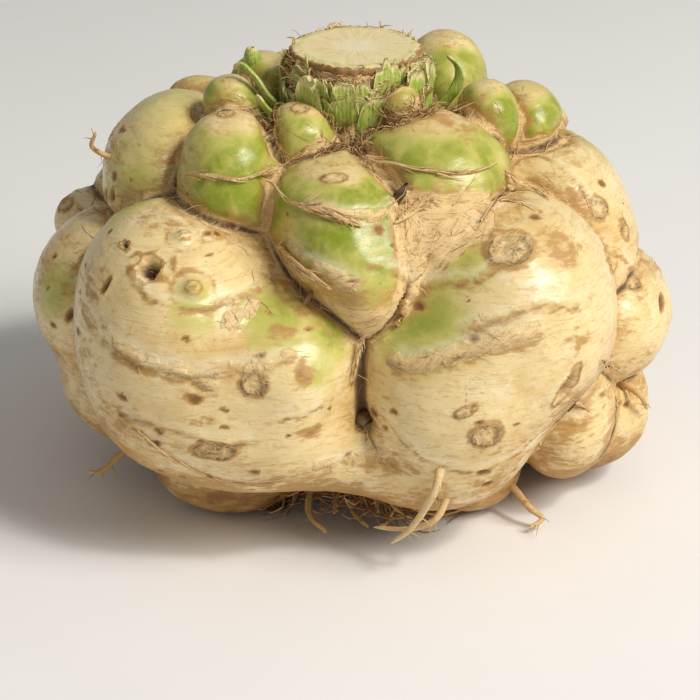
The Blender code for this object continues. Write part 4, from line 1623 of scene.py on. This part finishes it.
# ---- the studio ----------------------------------------------------------------------------------
@dataclass(frozen=True)
class Studio:
    """The pale floor, the soft lights and the camera."""

    AIM_HEIGHT = 0.046
    SURROUND = (1.0, 0.985, 0.96, 1)
    SURROUND_POWER = 0.29
    LAMPS = (("key", (1.05, -0.60, 1.10), 19.0, 0.75, (1.0, 0.965, 0.91)),
             ("gleam", (0.62, -0.50, 1.05), 4.2, 0.16, (1.0, 0.975, 0.93)))
    FLOOR_SIZE = 3.0
    FLOOR_GAP = 0.0002
    SENSOR = 36.0
    NEAREST = 0.01

    middle: Vector
    elevation: float = 25.0
    distance: float = 0.431
    drop: float = 0.0175
    lens: float = 100.0

    def floor(self) -> None:
        """A wide, plain floor under the root."""
        bm = bmesh.new()
        bmesh.ops.create_grid(bm, x_segments=1, y_segments=1, size=self.FLOOR_SIZE)
        mesh = bpy.data.meshes.new("floor")
        bm.to_mesh(mesh)
        bm.free()
        graph = Graph("floor_paper")
        tone = graph.noise(graph.where(), 60, 3)
        colour = graph.mix(graph.ramp(tone, 0.2, 0.8), (0.88, 0.87, 0.855), (0.9, 0.892, 0.88))
        mesh.materials.append(graph.finish(Base_Color=colour, Roughness=0.9))
        made = bpy.data.objects.new("floor", mesh)
        made.location.z = -self.FLOOR_GAP
        bpy.context.scene.collection.objects.link(made)
        made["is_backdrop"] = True

    def lamp(self, name: str, place: Triple, power: float, size: float, colour: Colour) -> None:
        """A soft square lamp that faces the root."""
        data = bpy.data.lights.new(name, 'AREA')
        data.energy, data.size, data.color = power, size, colour
        made = bpy.data.objects.new(name, data)
        made.location = place
        made.rotation_euler = (self.middle - Vector(place)).to_track_quat('-Z', 'Y').to_euler()
        bpy.context.scene.collection.objects.link(made)

    def light(self) -> None:
        """A large key lamp and a small gleam, both from the right, and a pale surround."""
        world = bpy.data.worlds.new("surround")
        world.use_nodes = True
        back = world.node_tree.nodes["Background"]
        back.inputs[0].default_value, back.inputs[1].default_value = self.SURROUND, self.SURROUND_POWER
        bpy.context.scene.world = world
        for lamp in self.LAMPS:
            self.lamp(*lamp)
        bpy.context.scene.view_settings.view_transform = 'Standard'

    def camera(self) -> None:
        """A long lens in front and above, aimed a little below the middle."""
        rise = math.radians(self.elevation)
        back = Vector((0, -math.cos(rise), math.sin(rise)))
        up = Vector((0, math.sin(rise), math.cos(rise)))
        data = bpy.data.cameras.new("camera")
        data.lens, data.sensor_width, data.clip_start = self.lens, self.SENSOR, self.NEAREST
        made = bpy.data.objects.new("camera", data)
        made.location = self.middle - up * self.drop + back * self.distance
        made.rotation_euler = (-back).to_track_quat('-Z', 'Y').to_euler()
        bpy.context.scene.collection.objects.link(made)
        bpy.context.scene.camera = made

    def build(self) -> None:
        """Set up the whole studio."""
        self.floor()
        self.light()
        self.camera()


# ---- where the marks and the small pieces are ----------------------------------------------------
FRONT_MARKS: tuple[Mark, ...] = (
    # greening: on the left lobe, on the right lobe, then on the left edge
    GreenPatch(-17, 14, 10, 0.75), GreenPatch(-5, 10, 8, 0.85), GreenPatch(-30, 14, 7, 0.5),
    GreenPatch(-6, 4, 6, 0.6), GreenPatch(15, 14, 13, 0.8), GreenPatch(24, 25, 10, 0.6),
    GreenPatch(12, 8, 7, 0.5), GreenPatch(-70, 28, 13, 0.5), GreenPatch(-76, 3, 9, 0.6),
    # scars of side roots: two on the right lobe, two on the left one, two at the right edge, three up on the
    # knobs and the left shoulder, and a slanting one on the right lobe
    RingScar(35, 24, 4.3, 0.8, 0.92), RingScar(25, -9, 3.1, 0.5, 0.85), RingScar(-18, 1, 2.6, 0.45, 0.8),
    RingScar(-25, -12, 4.2, 0.5, 0.45), RingScar(73, 22, 2.2, 0.4), RingScar(76, 5, 2.2, 0.4),
    RingScar(-5, 45, 2.4, 0.3, 0.6), RingScar(-33, 67, 1.8, 0.35), RingScar(-58, 55, 2.6, 0.3, 0.6),
    RingScar(21, -4, 2.2, 0.3, 0.45, 25),
    # holes: two high on the left lobe, two at the right edge and a slit on the right lobe; then two warts
    Pit(-41, 19, 2.5, 2.8, 0.8), Pit(-49, 21, 1.3, 0.9, 0.6), Pit(77, 15, 1.6, 1.4),
    Pit(61, 15, 2.4, 1.4, 0.8), Pit(40, -2, 3.4, 3.0, 0.42, 55),
    Nodule(-32, 17, 3.0, 1.3), Nodule(-40, 26, 2.6, 0.9),
    # slits
    Lenticel(-48, 14, 2.0, 0.8, 0.4, 70), Lenticel(-35, -11, 1.8, 0.6, 0.4, 20),
    Lenticel(-70, 0, 2.0, 0.8, 0.4, 70), Lenticel(-78, 24, 2.0, 0.9, 0.5, 60),
    Lenticel(-82, 22, 2.2, 0.9, 0.5, 60), Lenticel(26, -18, 1.6, 0.6, 0.5),
    Lenticel(28, -22, 1.5, 0.6, 0.5), Lenticel(79, -1, 2.2, 0.8, 0.5, 40),
    Lenticel(16, 15, 1.3, 0.4, 0.8), Lenticel(9, 14, 0.9, 0.3), Lenticel(-37, 29, 0.9, 0.3),
    Lenticel(5, -10, 1.3, 0.5, 0.7), Lenticel(-28, -2, 1.7, 0.3, 0.6),
    # stains
    BrownPatch(-14, 10, 3.4, 0.8, 0.8), BrownPatch(-9, 3, 3.0, 0.7), BrownPatch(-8, -10, 3.4, 0.75, 0.5),
    BrownPatch(-26, -6, 3.4, 0.7, 0.45, 10), BrownPatch(-42, -9, 4.0, 0.6, 0.4, -20),
    BrownPatch(-46, 27, 5.0, 0.5, 0.5), BrownPatch(-52, 12, 5.5, 0.55, 0.5, -20),
    BrownPatch(-38, 3, 6.0, 0.6, 0.35, -8), BrownPatch(-14, -22, 7, 0.5, 0.4),
    BrownPatch(9, -20, 7, 0.5, 0.5), BrownPatch(42, 6, 5.0, 0.45, 0.6), BrownPatch(12, 2, 4.0, 0.6, 0.5),
    BrownPatch(45, 22, 5.0, 0.5, 1.2), BrownPatch(30, -22, 8, 0.5, 0.5), BrownPatch(60, -12, 7, 0.55, 0.6),
    BrownPatch(-62, -14, 7, 0.6, 0.6), BrownPatch(-70, 10, 6, 0.5, 0.6),
    BrownPatch(45, 56, 7.0, 0.4), BrownPatch(-62, 40, 6, 0.5), BrownPatch(-52, 26, 8, 0.35, 0.5),
)
FRONT_GIRDLES: tuple[Girdle, ...] = (
    # the left lobe: over its top, two bands round its middle, three low ones and two short upright tears
    Girdle(((-56, 27), (-50, 28), (-44, 29)), 0.6, 0.2, 0.2, 0.4),
    Girdle(((-44, 17), (-38, 15), (-34, 14), (-28, 14), (-25, 17), (-22, 21)), 0.8, 0.35, 0.5, 0.7),
    Girdle(((-58, 11), (-52, 8), (-45, 7), (-40, 5), (-35, 4), (-30, 3), (-26, 1), (-23, -1)),
           1.2, 0.4, 0.6, 0.9),
    Girdle(((-44, -5), (-36, -7), (-30, -8), (-23, -10), (-16, -10)), 0.8, 0.28, 0.35, 0.7),
    Girdle(((-14, -6), (-9, -5), (-5, -4)), 0.6, 0.2, 0.3, 0.6),
    Girdle(((-44, -4), (-39, -8), (-33, -13), (-25, -20), (-18, -20), (-11, -19)), 0.8, 0.28, 0.35, 0.8),
    Girdle(((-25, 10), (-25, 12), (-24, 15)), 0.9, 0.3, 0.7, 0.5),
    Girdle(((-23, 10), (-22, 13), (-22, 17)), 0.8, 0.3, 0.7, 0.5),
    # the right lobe: over its top, the torn band across it, the one above that, and a low one
    Girdle(((31, 30), (38, 32), (47, 32), (48, 27)), 0.7, 0.25, 0.4, 0.6),
    Girdle(((8, 5), (11, 3), (17, 5), (22, 7), (26, 8), (30, 9), (36, 10)), 1.5, 0.45, 0.95, 0.8),
    Girdle(((20, 10), (28, 13), (33, 14), (40, 13), (48, 12)), 0.9, 0.35, 0.5, 0.7),
    Girdle(((5, -6), (14, -15), (23, -17), (34, -15), (41, -10)), 0.7, 0.25, 0.3, 0.5),
    # the right shoulder and edge, then the middle knob
    Girdle(((83, 39), (76, 33), (73, 27), (72, 21)), 0.7, 0.25, 0.5, 0.6),
    Girdle(((71, 13), (75, 9), (79, 4)), 0.7, 0.25, 0.5, 0.6),
    Girdle(((-15, 38), (-8, 37), (0, 35), (8, 36), (16, 40)), 0.9, 0.35, 0.8, 0.7),
    Girdle(((-20, 30), (-12, 26), (-4, 23), (2, 19)), 1.2, 0.3, 0.9, 0.7),
)


@dataclass(frozen=True)
class Scatter:
    """Small slits strewn over the whole skin, and scars and lines strewn mostly over its sides and back."""

    seed: int = 11
    lenticels: int = 150
    scars: int = 9
    lines: int = 26

    def marks(self) -> tuple[Mark, ...]:
        """Small slits everywhere, and scars, pits and greening on the sides and back."""
        rng = np.random.default_rng(self.seed)
        out: list[Mark] = []
        for _ in range(self.lenticels):
            out.append(Lenticel(rng.uniform(-180, 180), rng.uniform(-28, 38), rng.uniform(0.5, 1.3),
                                rng.uniform(0.12, 0.4), rng.uniform(0.35, 0.8), rng.normal(0, 15)))
        for number in range(self.scars):
            around = 100 + 160 * (number + 0.5) / self.scars
            size = rng.uniform(1.8, 4.2)
            out.append(RingScar(around, rng.uniform(-14, 26), size, 0.5, rng.uniform(0.5, 1)))
            out.append(Pit(around + 8, rng.uniform(-10, 30), rng.uniform(1.0, 2.0), 1.2, 0.6))
            out.append(GreenPatch(around - 6, rng.uniform(12, 34), rng.uniform(8, 13), 0.6))
            out.append(BrownPatch(around + 3, rng.uniform(-16, 26), rng.uniform(3, 6), 0.7, 0.6))
        return tuple(out)

    def girdles(self) -> tuple[Girdle, ...]:
        """Level lines of uneven length, on the sides and back mostly."""
        rng = np.random.default_rng(self.seed + 1)
        out: list[Girdle] = []
        for number in range(self.lines):
            middle = 95 + 170 * number / (self.lines - 1) + rng.normal(0, 4)
            if number % 5 == 0:
                middle = rng.uniform(-60, 60)
            half, height = rng.uniform(8, 20), rng.uniform(-24, 32)
            steps = np.linspace(-half, half, 6)
            path = tuple((middle + step, height + 0.012 * step * step + rng.normal(0, 0.8)) for step in steps)
            out.append(Girdle(path, rng.uniform(0.5, 1.1), rng.uniform(0.15, 0.35), rng.uniform(0.2, 0.7),
                              rng.uniform(0.4, 0.8)))
        return tuple(out)


STALKS: tuple[tuple[str, float, float, float, float, float, float], ...] = (
    ("stalk_left_front", -38, 77, 17.0, 3.6, 2.0, 2.0), ("stalk_left", -100, 77, 18.5, 3.8, 2.3, 1.8),
    ("stalk_front", -10, 84, 9.5, 3.0, 1.4, 1.0), ("stalk_right_front", 50, 79, 16.0, 3.2, 2.0, 2.0),
    ("stalk_right", 74, 77, 18.0, 3.0, 2.1, 2.2), ("stalk_right_rear", 132, 78, 15.5, 3.4, 2.0, 2.2),
    ("stalk_back", 175, 78, 15.0, 3.8, 2.1, 1.8), ("stalk_left_rear", -138, 78, 16.0, 3.6, 2.0, 2.2),
)
SHOOTS: tuple[Root, ...] = (
    Root("shoot_curled", ((-13, -3, 82), (-17.5, -4, 87.5), (-20, -3.5, 91.5), (-22.5, -2.5, 94),
                          (-24.5, -2, 93)), 1.6, 0.7, hairs=0, flat=0.5),
    Root("shoot_short", ((-12, -6, 79), (-17, -9, 85.5), (-19.5, -10.5, 90)), 1.7, 0.9, hairs=0, flat=0.5),
    Root("shoot_looped", ((17, 3, 80), (22.5, 3, 87), (23, 3, 91.5), (20.5, 3, 94.5)), 1.5, 0.7,
         hairs=0, flat=0.5),
    Root("bud_left", ((-20, 11, 87), (-21, 10.5, 92), (-21, 10.5, 94)), 2.2, 1.2, hairs=0),
)
ROOTLETS: tuple[Root, ...] = (
    Root("rootlet_front_long", ((19, -52, 30), (17, -58, 23), (13, -56, 14), (8.5, -52, 7)), 1.1, 0.45, 0.85),
    Root("rootlet_front_short", ((21, -48, 21), (18, -54.5, 15), (12.5, -52.5, 11), (5, -48, 8.5)),
         0.9, 0.4, 0.7),
    Root("rootlet_hollow_left", ((-7, -26, 12), (-9, -35, 5.5), (-5, -41, 3)), 0.9, 0.45, 0.4, 9),
    Root("rootlet_hollow_middle", ((1, -22, 12), (0, -32, 5), (4, -38, 2.6)), 1.0, 0.45, 0.35, 9),
    Root("rootlet_hollow_right", ((8, -22, 11), (10, -33, 4.6), (6, -40, 3.4)), 0.8, 0.4, 0.4, 9),
    Root("rootlet_hook", ((33, -26, 9), (38.5, -33, 5), (41.5, -34, 2.6), (38.5, -36.5, 1.7)),
         0.9, 0.4, 0.6, 8),
    Root("rootlet_right_crease", ((57, -12, 26), (62.5, -20, 25.5), (65, -18.5, 21)), 0.8, 0.4, 0.6, 7),
    Root("rootlet_left_spur", ((-48, -22, 14), (-54, -25, 9.5), (-57, -25, 9)), 0.8, 0.4, 0.55, 6),
    Root("rootlet_left_edge", ((-48, -2, 72), (-54.5, -6, 77), (-53.5, -8, 81)), 0.7, 0.35, 0.6, 9),
    Root("rootlet_back_left", ((-12, 46, 14), (-15, 55, 7), (-11, 60, 3)), 1.0, 0.45),
    Root("rootlet_back_right", ((13, 46, 16), (15, 57, 9), (21, 60.5, 6)), 0.9, 0.4),
    Root("rootlet_base_rear", ((22, 22, 8), (25, 27, 2.4), (30, 30, 1.9)), 0.9, 0.45),
)
STRIPS: tuple[DryStrand, ...] = (
    DryStrand("strand_upper", ((-15, 38), (-11, 37), (-6, 36.5), (-1, 34.5), (3, 33)), 0.9, 0.7),
    DryStrand("skin_line_left", ((-54, 38), (-44, 40), (-36, 42), (-32, 48), (-29, 50)), 0.38, 0.25, False),
    DryStrand("skin_line_middle", ((-33, 45), (-27, 44), (-18, 39), (-12, 37), (-5, 35), (4, 35)),
              0.32, 0.3, False),
    DryStrand("skin_line_wide", ((5, 55), (14, 51), (23, 46), (35, 42), (49, 42)), 0.42, 0.25, False),
    DryStrand("skin_line_right", ((32, 30), (42, 34), (46, 32), (47, 28)), 0.3, 0.15, False),
    DryStrand("crease_strand_right", ((49, 40), (57, 34), (54, 29)), 0.5, 0.6, False),
    DryStrand("web_ridge", ((12, 34), (21, 38), (26, 39)), 1.0, 0.3, False),
    DryStrand("crease_wisp", ((47, 1), (52, -2), (69, -12)), 0.4, 0.9, False),
    DryStrand("low_wisp", ((42, -5), (46, -8), (58, -17)), 0.25, 0.8, False),
    DryStrand("foot_line", ((-39, -8), (-33, -13), (-25, -20), (-18, -20), (-11, -19)), 0.3, 0.1, False),
    DryStrand("front_crease_wisp", ((3.5, 9), (2.5, 6), (1, 2), (0, -2)), 0.4, 0.6, False),
    DryStrand("strand_lower", ((-21, 29), (-17, 27), (-13, 25), (-8, 22.5), (-4, 20)), 1.0, 1.0),
)


def main() -> None:
    """Build every class in order and report each piece."""
    logging.basicConfig(level=logging.INFO, format="%(name)s: %(message)s")
    stump = Stump()
    corm = Corm(SWELLINGS, stump)
    scatter = Scatter()
    maker = Maker(np.zeros(3))
    skin = SkinMesh(corm, marks=scatter.marks() + FRONT_MARKS, girdles=scatter.girdles() + FRONT_GIRDLES)
    surface = skin.build(maker, SkinFinish().material())
    LOG.info("corm_skin: %d points", len(surface.points))

    dry, pale_root = FibreFinish().material(), FibreFinish("rootlet_bark", roughness=0.7).material()
    leaf = LeafFinish().material("leaf_base")
    made = [CrownCut(stump).build(maker, CutFinish().material()),
            LeafScales(stump).build(maker, leaf), RimFibres(stump).build(maker, dry)]
    for node, *sizes in STALKS:
        made.append(StalkStub(*sizes, node=node).build(maker, stump, leaf))
    made += [shoot.build(maker, leaf, "stalk_green") for shoot in SHOOTS]
    made += [root.build(maker, pale_root, "rootlet_tan") for root in ROOTLETS]
    made += [strip.build(maker, corm, dry) for strip in STRIPS]

    for threads, where in FibreGround(surface, stump).threads():
        made.append(threads.build(maker, surface, where, dry))
    for piece in made:
        LOG.info("%s: %d points", piece.name, len(piece.data.vertices))
    Studio(Vector((*(maker.shift[:2] * MM), Studio.AIM_HEIGHT))).build()
    sizes = {"cad": [list(map(float, c)) for c in CAD_BOX], "visual": [list(map(float, c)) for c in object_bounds()]}


if __name__ == "__main__":
    main()
